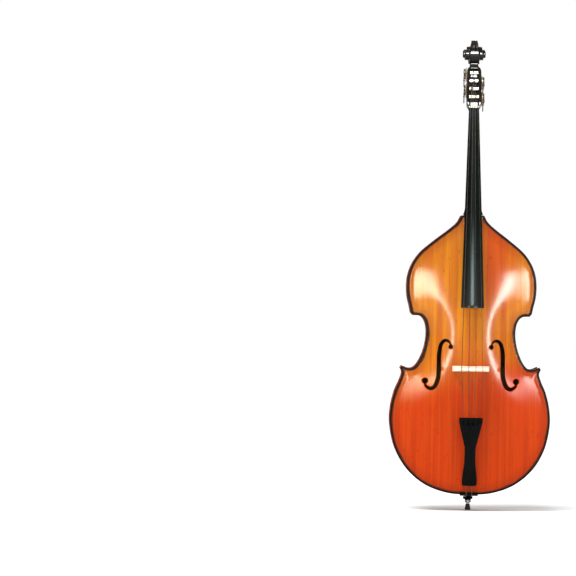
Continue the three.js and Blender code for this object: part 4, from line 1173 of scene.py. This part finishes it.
def crown_y(x):
    return BRIDGE_TOP_Y + BRIDGE_CROWN_RADIUS - math.sqrt(BRIDGE_CROWN_RADIUS**2 - x**2)


def arch_at(x, z):
    """Rise of the front plate at a point, from the six nearest points of its sheet."""
    gap = (top_sheet.points[:, 0] - x) ** 2 + (top_sheet.points[:, 1] - z) ** 2
    close = np.argsort(gap)[:6]
    weight = 1 / (gap[close] + 1e-3)
    return float((rise[close] * weight).sum() / weight.sum())


def bridge_outline():
    right = [
        (24, 36), (31, 31), (38, 22), (43, 14), (45, 9), (48, 9), (80, 7.5), (80.5, 12), (78, 19), (73, 27),
        (69, 36), (66, 45), (60, 52), (54, 56), (50, 60), (48.5, 66), (50, 72), (54, 76), (60, 78), (66, 82),
        (70, 89), (70.5, 97), (67, 105), (61, 110), (56, 114), (52.5, 119), (51, 125),
        (50.5, TOP_SURFACE - crown_y(50) - 3), (48.5, TOP_SURFACE - crown_y(48.5)),
    ]
    arc = [(x, TOP_SURFACE - crown_y(x)) for x in np.linspace(44, 0, 12)]
    side = spline([*right, *arc], 150)
    side = side[side[:, 0] >= 0]
    under = spline([(24, 36), (15, 41), (6, 45), (0, 46)], 14)[1:]
    return np.vstack([side, mirrored(side)[1:], under * [-1, 1], under[-2::-1]])


heart = spline([(0, 112), (5, 104), (11.5, 109), (13, 117), (9, 124), (3.5, 124), (0, 119.5)], 26)
heart_loop = np.vstack([heart, mirrored(heart)[1:-1]])
KIDNEY = [
    (30, 84), (38, 82), (46, 88), (47, 98), (42, 107), (35, 109), (33, 103), (37, 97), (33, 92), (27, 89),
]
kidney = closed_spline(KIDNEY, 44)
bridge_verts, bridge_faces = cutout([bridge_outline(), heart_loop, kidney, mirrored(kidney)], 2.0, 0.12)
u, v, w = bridge_verts.T
tallest = TOP_SURFACE - BRIDGE_TOP_Y
thick = np.interp(v, [0, 14, 60, tallest], [28, 26, 18, 7.5])
swell = 1 - 0.10 * np.clip(np.abs(u) / 80, 0, 1) ** 2
foot_x = np.linspace(-FOOT_REACH, FOOT_REACH, 42)
foot_height = np.interp(u, foot_x, [arch_at(a, BRIDGE_Z) for a in foot_x])
lift = np.clip((16 - v) / 9, 0, 1)
height = v * (1 - lift) + (foot_height + np.clip(v - 8, 0, 8) + 0.4) * lift
bridge_part = (np.column_stack([u, TOP_SURFACE - height, BRIDGE_Z - w * thick / 2 * swell]), bridge_faces)
closed_piece(
    "carved_bridge", bridge_part, BARE_MAPLE, replaces="bridge", sharp=40,
    grain=np.column_stack([u, -w * thick, v]),
)

# ---------------------------------------------------------------- tailpiece, saddle and tail wire

TAIL_TOP_Z, TAIL_LOW_Z, SADDLE_Y, SADDLE_Z = 312, 38, -127, 5
TAIL_STATIONS = [
    (38, 27), (52, 30), (90, 27), (130, 22.5), (185, 22), (215, 28), (285, 45), (304, 47), (312, 46)
]
AFTER_SLOPE = (SADDLE_Y - BRIDGE_TOP_Y) / (BRIDGE_Z - SADDLE_Z)


def tail_line(z):
    return SADDLE_Y - AFTER_SLOPE * (z - SADDLE_Z)


tail_rings = []
for z, half in spline(TAIL_STATIONS, 120):
    ease = min(1.0, (z - TAIL_LOW_Z + 2.0) / 9, (TAIL_TOP_Z - z + 3.0) / 7)
    ease = math.sqrt(max(0.0, 1 - (1 - ease) ** 2))
    y, crown = tail_line(z) - 1, half * 0.16 + 3
    ring = [(s * half, y + crown * abs(s) ** 2.2 + (1 - ease) * 4, z) for s in np.linspace(1, -1, 31)]
    edge, base = (half - 0.6, y + crown + 5), (half - 6, y + 20)
    tail_rings.append([*ring, (-edge[0], edge[1], z), (-base[0], base[1], z), (*base, z), (*edge, z)])
anchors = []
anchor_z = TAIL_TOP_Z - 26
anchor_lean = Matrix.Rotation(math.pi / 2 + math.atan(AFTER_SLOPE), 4, "X")
for string in STRINGS.values():
    x, half = string["tail"], string["radius"] + 0.9
    place = Matrix.Translation((x, tail_line(anchor_z) - 1, anchor_z))
    anchors.append(moved(cylinder(5.2, -9, 9), place @ anchor_lean))
    top, low = tail_line(TAIL_TOP_Z) - 26, tail_line(anchor_z) + 8
    anchors.append(box_part(x - half, x + half, top, low, anchor_z, TAIL_TOP_Z - 8))
tail_part = cut(rounded(loft(tail_rings), 1.3, 3, 40), *anchors)
closed_piece("shaped_tailpiece", tail_part, EBONY, replaces="tailpiece", sharp=35)

SADDLE_OUTLINE = [  # y, z
    (-99.7, -1.5), (-106, -3.4), (-115, -3), (-121, -0.5), (-124.6, 2.6), (-124.4, 5.4), (-120, 8),
    (-112, 9.8), (-99.7, 10),
]
saddle_root = SADDLE_OUTLINE[0][0]
saddle_rings = []
for x in np.linspace(-SADDLE_HALF, SADDLE_HALF, 49):
    taper_in = 1 - 0.5 * max(0.0, abs(x) / SADDLE_HALF - 0.55) ** 2 * 4
    ring = [(x, saddle_root + (y - saddle_root) * taper_in, z) for y, z in spline(SADDLE_OUTLINE, 40)]
    saddle_rings.append(ring)
saddle_part = rounded(loft(saddle_rings), 0.8, 2, 50)
closed_piece("rounded_saddle", saddle_part, EBONY, replaces="saddle", sharp=40)

wire_side = [
    (11, tail_line(TAIL_LOW_Z) + 10, TAIL_LOW_Z - 0.5), (11, SADDLE_Y - 0.4, SADDLE_Z + 2.5),
    (11.3, SADDLE_Y - 0.4, 2), (12, -124.5, -2.8), (13, -118, -5.8), (15.4, -60, -5.8), (16.2, -8, -5.8),
    (14.6, 8, -5.8), (9, 15, -5.8),
]
wire_points = [*wire_side, (0, 17.4, -5.8), *[(-x, y, z) for x, y, z in wire_side[::-1]]]
runs = [np.linspace(start, end, 5, endpoint=False) for start, end in zip(wire_points, wire_points[1:])]
wire_path = np.vstack([*runs, wire_points[-1:]])
for _ in range(2):
    wire_path[1:-1] = eased(wire_path)
*wire, wire_grain = tube(wire_path, 1.6, 14)
closed_piece("tail_cable", wire, STRING_METAL, grain=wire_grain, replaces="tail_wire")

# ---------------------------------------------------------------- endpin

plug_profile = [
    (5.6, -34), (10.5, -34), (11.6, -33.2), (12, -32), (12, -23), (12.6, -21.4), (14, -20.4), (17.6, -19.6),
    (19.2, -18.4), (19.9, -15.6), (19.6, -12.6), (18.4, -10.2), (16, -9), (13.6, -8.7), (12.6, -8.1),
    (12.5, -7), (12.5, -4), (12.8, -3), (14, -2.3), (18.6, -2.1), (19.7, -1.4), (20, -0.2), (20, 4.6),
    (19.4, 5.3), (16, 5.6), (15.6, 30), (14.6, 61), (14, 62), (5.6, 62),
]
SCREW_PLACE = Matrix.Translation((0, 0, -27)) @ Matrix.Rotation(math.pi / 2, 4, "X")
plug = cut(lathe(plug_profile, 64), moved(cylinder(3.4, -4, 20), SCREW_PLACE), cylinder(5.6, -40, 70, 40))
closed_piece("turned_plug", plug, EBONY, replaces="endpin_plug", sharp=40)

rod_profile = [(0, -46), (4.6, -46), (5, -45.4)]
for z in np.arange(-30, 320, 25):
    rod_profile += [(5, z - 1.6), (4.55, z - 0.8), (4.55, z + 0.8), (5, z + 1.6)]
rod_profile += [(5, 329), (4.2, 330), (0, 330)]
closed_piece("grooved_rod", lathe(rod_profile, 40), STEEL, "endpin", replaces="endpin_rod", sharp=30)

foot_profile = [
    (0, -64), (8.4, -64), (9.6, -63.6), (10.4, -62.6), (10.4, -61.4), (11.0, -61), (11.6, -60.4),
    (11.6, -59.2), (10.9, -58.7), (10.9, -57.4), (11.2, -57), (11.2, -55.8), (10.5, -55.3), (10.5, -54),
    (10.7, -53.6), (10.7, -52.4), (10.0, -51.9), (9.6, -49), (8.6, -43), (7.6, -39.4), (6.8, -38.2),
    (5.3, -38), (5.3, -46.3), (0, -46.3),
]
closed_piece("ribbed_foot", lathe(foot_profile, 56), RUBBER, "endpin", replaces="endpin_foot")

screw_profile = [(0, 5.5), (2.2, 5.5), (2.9, 6.2)]
for k in np.arange(7, 17.2, 1.0):
    screw_profile += [(2.5, k), (2.95, k + 0.5)]
screw_profile += [(2.9, 18), (4.1, 18.3), (4.6, 19), (4.6, 22.6), (4.0, 23.4), (0, 23.4)]
half_wing = [(4.5, 21.5), (8.5, 20.8), (12.4, 24), (13, 29), (10.6, 33), (6.6, 33.2), (3.2, 29.4)]
wing_loop = closed_spline([(0, 20.5), *half_wing, (0, 27.6), *mirrored(half_wing)], 90)
wing = moved(cutout([wing_loop], 3.6, 0.9, 3), Matrix.Rotation(math.pi / 2, 4, "X"))
screw = moved(joined(lathe(screw_profile, 32), wing), SCREW_PLACE)
closed_piece("winged_screw", screw, STEEL, "thumb_screw", replaces="endpin_thumb_screw")

# ---------------------------------------------------------------- tuning machines

PLATE_INNER, PLATE_THICKNESS = 30.3, 2.2
GEAR_TEETH, GEAR_TIP, GEAR_ROOT, GEAR_THICKNESS = 24, 15, 13, 7
TOOTH = [  # share of a pitch, radius
    (-0.30, GEAR_ROOT), (-0.15, GEAR_TIP - 0.4), (-0.09, GEAR_TIP), (0.09, GEAR_TIP), (0.15, GEAR_TIP - 0.4),
    (0.30, GEAR_ROOT),
]
WORM_TIP, WORM_ROOT, WORM_LENGTH = 4.6, 3.3, 16
WORM_PITCH = 2 * math.pi * 14.3 / GEAR_TEETH
SHAFT_RADIUS, SHAFT_REAR = 2.6, -22
LUG_ACROSS, LUG_HALF, LUG_RADIUS = 13, 2, 4.5
PLATE_SCREWS = [(-12, 12.5), (16.5, 9), (-12, -30.5), (16.5, -31)]
PLATE_LOOP = [  # across and along, from the roller's centre
    (-13, 16.6), (-15.6, 14), (-16, 4), (-15.2, -8), (-16, -20), (-16, -29), (-13.4, -33.4), (-9, -35.8),
    (4, -36), (15, -35.8), (20, -32.6), (22, -28.6), (21.6, -18), (20.6, -8), (21.8, 2), (21.6, 9.4),
    (18, 13), (13.4, 16.6), (0, 17),
]
KEY_HALF_LOOP = [
    (43.4, 3.2), (47, 5.2), (50.5, 9.6), (54.5, 14.6), (60, 18.6), (66, 20), (71.5, 19), (75.6, 15.8),
    (76.9, 11.4), (75.6, 7), (73.6, 3.4), (73, 0),
]
# From a piece's own (u, v, w) to the head's (x, across, along), each named after where w or the outline goes
UNTURNED = Matrix.Identity(4)
OUT_OF_CHEEK = Matrix(((0, 0, 1, 0), (1, 0, 0, 0), (0, 1, 0, 0), (0, 0, 0, 1)))
ALONG_SHAFT = Matrix(((0, 1, 0, 0), (0, 0, 1, 0), (1, 0, 0, 0), (0, 0, 0, 1)))
ACROSS_CHEEK = Matrix(((1, 0, 0, 0), (0, 0, 1, 0), (0, 1, 0, 0), (0, 0, 0, 1)))
FLAT_IN_CHEEK = Matrix(((0, 0, 1, 0), (0, 1, 0, 0), (1, 0, 0, 0), (0, 0, 0, 1)))


def in_head(part, x, along, turn=UNTURNED):
    """A part carried to a place on the middle line of the cheeks, in the head's own frame."""
    return moved(part, HEAD @ Matrix.Translation((x, 0, along)) @ turn)


def dome_screw(radius, height):
    """A slotted round-headed screw standing on w = 0."""
    steps = np.linspace(0, math.pi / 2, 7)
    profile = [(0, -0.6), (radius, -0.6)] + [(radius * math.cos(a), height * math.sin(a)) for a in steps[:-1]]
    slot_cut = box_part(-radius - 1, radius + 1, -radius * 0.14, radius * 0.14, height * 0.45, height + 1)
    return cut(lathe([*profile, (0, height)], 24), slot_cut)


def worm_part():
    """A right-handed worm about +w, its thread fading out at both ends."""
    rings = []
    angles = np.linspace(0, 2 * math.pi, 36, endpoint=False)
    for k in np.linspace(-WORM_LENGTH / 2, WORM_LENGTH / 2, 113):
        phase = (k / WORM_PITCH - angles / (2 * math.pi)) % 1.0
        crest = np.clip((0.34 - np.abs(phase - 0.5)) / 0.16, 0, 1)
        fade = np.clip((WORM_LENGTH / 2 - abs(k)) / 1.5, 0, 1)
        radius = WORM_ROOT + (WORM_TIP - WORM_ROOT) * crest * fade
        rings.append([(r * math.cos(a), r * math.sin(a), k) for r, a in zip(radius, angles)])
    return loft(rings)


def gear_part():
    """A worm wheel with rounded teeth, a bore and a turned groove in its face."""
    loop = []
    pitch = 2 * math.pi / GEAR_TEETH
    for tooth in range(GEAR_TEETH):
        for share, radius in TOOTH:
            angle = (tooth + share) * pitch - math.pi / 2
            loop.append((radius * math.cos(angle), radius * math.sin(angle)))
    blank = cutout([loop, circle((0, 0), 4.3, 28)[::-1]], GEAR_THICKNESS, 0.3)
    half = GEAR_THICKNESS / 2
    groove = [(7, half - 1.1), (11.3, half - 1.1), (11.8, half + 1), (6.5, half + 1), (7, half - 1.1)]
    return cut(blank, lathe_ring(groove, 48))


def lathe_ring(profile, steps):
    """A turned ring from a closed (radius, height) profile whose last point repeats the first."""
    rings = [[(r * math.cos(a), r * math.sin(a), h) for r, h in profile[:-1]] for a in around(steps)]
    verts, faces = loft(rings, caps=False)
    count = len(profile) - 1
    last = (steps - 1) * count
    faces += [(last + i, last + (i + 1) % count, (i + 1) % count, i) for i in range(count)]
    return verts, faces


def mirrored_x(part, side):
    return part[0] * np.array([side, 1, 1]), part[1]


def plate_part():
    """The machine's back plate with its two lugs, for the +X side."""
    loop = closed_spline(PLATE_LOOP, 110)
    plate = cutout([loop, circle((0, 0), ROLLER_RADIUS + 0.7, 36)[::-1]], PLATE_THICKNESS, 0.45, 3)
    plate = moved(plate, Matrix.Translation((PLATE_INNER + PLATE_THICKNESS / 2, 0, 0)) @ OUT_OF_CHEEK)
    r = LUG_RADIUS
    lug_loop = [(PLATE_INNER + 1, -r), (WORM_X, -r)]
    lug_loop += [(WORM_X + r * math.sin(a), -r * math.cos(a)) for a in np.linspace(0, math.pi, 15)[1:-1]]
    lug_loop += [(WORM_X, r), (PLATE_INNER + 1, r)]
    lug = cutout([lug_loop, circle((WORM_X, 0), 3.0, 26)[::-1]], 2 * LUG_HALF, 0.4, 3)
    places = [Matrix.Translation((0, across, -WORM_DROP)) for across in (-LUG_ACROSS, LUG_ACROSS)]
    return joined(plate, *[moved(lug, place @ ACROSS_CHEEK) for place in places])


key_loop = spline(KEY_HALF_LOOP, 60)
key_loop = [*[(v, u) for u, v in key_loop], *[(-v, u) for u, v in key_loop[::-1][1:]]]
key_wing = moved(cutout([key_loop], 3.8, 1.3, 5), FLAT_IN_CHEEK)
shaft_profile = [
    (0, SHAFT_REAR), (2.0, SHAFT_REAR), (SHAFT_RADIUS, SHAFT_REAR + 0.6), (SHAFT_RADIUS, -15.8),
    (SHAFT_RADIUS, 15.6), (4.0, 15.8), (4.3, 16.4), (4.3, 18.2), (3.6, 18.9), (SHAFT_RADIUS, 19.4), (2.4, 30),
    (2.5, 38), (3.4, 39.4), (4.2, 41), (4.2, 42.4), (3.4, 44), (3.0, 47.5), (0, 48),
]
key_part = joined(moved(lathe(shaft_profile, 30), ALONG_SHAFT), moved(worm_part(), ALONG_SHAFT), key_wing)
gear, plate_blank, screw_blank = gear_part(), plate_part(), dome_screw(2.2, 1.3)
end_screw = dome_screw(5.6, 2.2)


def winding_part(string):
    """Three close turns of string round the roller."""
    r = string["radius"]
    turns = np.linspace(-1.42, 1.42, 110)
    coil = ROLLER_RADIUS + 0.28 + r
    run = [(k * 2.04 * r, coil * math.cos(2 * math.pi * k), coil * math.sin(2 * math.pi * k)) for k in turns]
    return tube(run, r, 10)


for label, string in STRINGS.items():
    side, place = string["side"], ROLLER_START + ROLLER_PITCH * string["roller"]
    body = f"roller_{label}"
    outward = OUT_OF_CHEEK if side > 0 else Matrix.Rotation(math.pi, 4, "Z") @ OUT_OF_CHEEK
    closed_piece(
        f"machine_plate_{label}", in_head(mirrored_x(plate_blank, side), 0, place), BRASS,
        replaces=f"tuner_plate_{label}", sharp=40,
    )
    face = side * (PLATE_INNER + PLATE_THICKNESS)
    heads = [moved(screw_blank, Matrix.Translation((face, *at)) @ outward) for at in PLATE_SCREWS]
    closed_piece(f"plate_screws_{label}", in_head(joined(*heads), 0, place), STEEL, sharp=40)
    closed_piece(
        f"worm_wheel_{label}", in_head(gear, side * WORM_X, place, outward), BRASS, body,
        replaces=f"gear_{label}", sharp=30,
    )
    gear_face = side * (WORM_X + GEAR_THICKNESS / 2 + 0.1)
    closed_piece(
        f"end_screw_{label}", in_head(end_screw, gear_face, place, outward), STEEL, body, sharp=40
    )
    cheek = CHEEK_HALF + (CHEEK_TOP_HALF - CHEEK_HALF) * min(1.0, max(0.0, place / CHEEK_TOP))
    far_end, shoulder = -(cheek - 4.6), PLATE_INNER + PLATE_THICKNESS + 1.7
    r, tip = ROLLER_RADIUS, shoulder + GEAR_THICKNESS
    barrel = [
        (0, far_end), (r - 0.6, far_end), (r, far_end + 0.6), (r, -17), (r - 0.3, -15), (r - 0.3, 15),
        (r, 17), (r, shoulder - 0.4), (r - 0.4, shoulder), (4, shoulder), (4, tip), (3.4, tip + 0.4),
        (0, tip + 0.4),
    ]
    closed_piece(
        f"turned_roller_{label}", in_head(lathe(barrel, 40), 0, place, outward), BONE, body,
        replaces=f"roller_{label}", sharp=40,
    )
    *coil, coil_grain = winding_part(string)
    closed_piece(
        f"coiled_string_{label}", in_head(coil, string["at_roller"], place), SILK_DARK, body,
        grain=coil_grain, replaces=f"winding_{label}", sharp=60,
    )
    closed_piece(
        f"worm_key_{label}", in_head(key_part, side * WORM_X, place - WORM_DROP), BRASS,
        f"key_{label}", replaces=f"key_{label}", sharp=35,
    )

# ---------------------------------------------------------------- strings

SILK_TAIL, SILK_HEAD = 62, 46


def string_path(string):
    """The corners of a string's run from the tailpiece over the bridge and the nut to its roller."""
    r = string["radius"]
    lift = r + CAD_GAP
    anchor = tail_line(TAIL_TOP_Z) + 8
    bridge_y = crown_y(string["bridge"]) - lift - 0.6
    nut_crown = board_crown(NUT_Z + 2) - 1.5 + 3.6 * (string["nut"] / NUT_HALF) ** 2
    along = ROLLER_START + ROLLER_PITCH * string["roller"]
    head = HEAD @ Vector((string["at_roller"], -(ROLLER_RADIUS + 0.6 + 2 * r) - r, along - 2))
    return np.array([
        (string["tail"], anchor, TAIL_TOP_Z + 0.5), (string["tail"], anchor - 3, TAIL_TOP_Z + 8),
        (string["bridge"], bridge_y, BRIDGE_Z - 4), (string["bridge"], bridge_y, BRIDGE_Z + 4),
        (string["nut"], nut_crown - lift - 0.4, NUT_Z), (string["nut"], nut_crown - lift - 0.2, NUT_Z + 4.5),
        tuple(head),
    ])


for label, string in STRINGS.items():
    corners = string_path(string)
    run = run_along(corners)
    low_wrap, high_wrap = SILK_TAIL, run[4] - SILK_HEAD
    stops = {*run, low_wrap, low_wrap + 1, high_wrap - 1, high_wrap, *np.linspace(run[0], run[-1], 90)}
    stops |= {r + d for r in run[1:-1] for d in (-1.5, 1.5)}
    at = np.array(sorted(stops))
    path = np.column_stack([np.interp(at, run, corners[:, k]) for k in range(3)])
    path[1:-1] = np.where(np.diff(at)[:-1, None] < 2, eased(path), path[1:-1])
    wrapped = (at < low_wrap + 0.5) | (at > high_wrap - 0.5)
    verts, faces, grain = tube(path, string["radius"] + np.where(wrapped, 0.12, 0.0), 12)
    middles = [grain[list(face), 2].mean() for face in faces]
    finish = [1 if m < low_wrap + 0.5 else 2 if m > high_wrap - 0.5 else 0 for m in middles]
    made = piece(
        f"strung_{label}", verts, faces, [STRING_METAL, SILK_RED, SILK_DARK], grain=grain,
        face_materials=finish, sharp=60,
    )
    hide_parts(f"string_{label}")

# ---------------------------------------------------------------- woodwork inside the box

for name in (
    "front_lining", "back_lining", "bass_bar", "sound_post", "end_block", "neck_block",
    "corner_block_lower_bass", "corner_block_lower_treble", "corner_block_upper_bass",
    "corner_block_upper_treble",
):
    for holder in nodes[name].material_slots:
        holder.material = BARE_SPRUCE

# ---------------------------------------------------------------- camera, light and floor

LENS = 300
CAMERA_PLACE = (-0.735, -19.3, 0.817)
CAMERA_ROLL = math.radians(-0.85)
FLOOR_REACH = 40
OVERHEAD_STRENGTH = 2.9
WALL_LIGHT = 0.42


def placed(made, location):
    made.location = location
    bpy.context.scene.collection.objects.link(made)
    return made


camera = placed(bpy.data.objects.new("camera", bpy.data.cameras.new("camera")), CAMERA_PLACE)
camera.data.lens = LENS
camera.data.clip_end = 200
camera.rotation_euler = (math.radians(90), CAMERA_ROLL, 0)
bpy.context.scene.camera = camera


def lamp(name, kind, location, target, strength, colour=(1, 1, 1)):
    data = bpy.data.lights.new(name, kind)
    data.energy = strength
    data.color = colour
    made = placed(bpy.data.objects.new(name, data), location)
    made.rotation_euler = (Vector(target) - made.location).to_track_quat("-Z", "Y").to_euler()
    return data


def soft_box(name, location, target, size, watts, colour=(1, 1, 1)):
    """An oval soft light. Its size is (width, height) in metres."""
    data = lamp(name, "AREA", location, target, watts, colour)
    data.shape = "ELLIPSE"
    data.size, data.size_y = size
    return data


# Tall narrow boxes on each side make the two shines on the upper bouts; one high in front shines along the
# sloping fingerboard; a narrow beam lights the scroll; the rear one is for the back.
soft_box("left", (-1.25, -4.2, 0.94), (0, 0, 0.8), (0.16, 0.90), 23, (1.0, 0.98, 0.78))
soft_box("right", (1.48, -4.2, 0.92), (0, 0, 0.8), (0.20, 0.90), 32, (0.97, 1.0, 0.95))
soft_box("front", (0, -4.5, 2.72), (0, 0, 0.9), (1.5, 0.5), 46, (0.72, 1.0, 0.96))
soft_box("rear", (0.8, 3.6, 2.4), (0, 0, 0.8), (2.4, 2.4), 60)
crown = soft_box("crown", (0.05, -2.4, 1.90), (0, 0, 1.80), (0.6, 0.7), 4)
crown.spread = math.radians(22)
overhead = lamp("overhead", "SUN", (-1.5, -2.5, 5.5), (0, 0, 0.5), OVERHEAD_STRENGTH)
overhead.angle = math.radians(30)

# The studio's white walls: plain white where they are seen, softer where they light the piece
world = bpy.data.worlds.new("studio")
bpy.context.scene.world = world
world.use_nodes = True
walls = world.node_tree.nodes["Background"]
walls.inputs["Color"].default_value = (1, 1, 1, 1)
seen = world.node_tree.nodes.new("ShaderNodeLightPath").outputs["Is Camera Ray"]
strength = world.node_tree.nodes.new("ShaderNodeMapRange")
strength.inputs["To Min"].default_value = WALL_LIGHT
strength.inputs["To Max"].default_value = 1.0
world.node_tree.links.new(seen, strength.inputs["Value"])
world.node_tree.links.new(strength.outputs["Result"], walls.inputs["Strength"])
bpy.context.scene.view_settings.view_transform = "Standard"

floor_corners = [(-FLOOR_REACH, -FLOOR_REACH), (FLOOR_REACH, -FLOOR_REACH)]
floor_corners += [(FLOOR_REACH, FLOOR_REACH), (-FLOOR_REACH, FLOOR_REACH)]
floor_mesh = bpy.data.meshes.new("floor")
floor_mesh.from_pydata([(x, y, FLOOR_Z * MM) for x, y in floor_corners], [], [range(4)])
floor_shader = Shader("floor", Roughness=0.85)
floor_tone = floor_shader.noise(floor_shader.place(), (1.5, 1.5, 1.5), 2.0)
floor_shader.link(floor_shader.mix(floor_tone, (0.92, 0.92, 0.92), (0.95, 0.95, 0.95)), "Base Color")
floor_mesh.materials.append(floor_shader.material)
floor = placed(bpy.data.objects.new("floor", floor_mesh), (0, 0, 0))
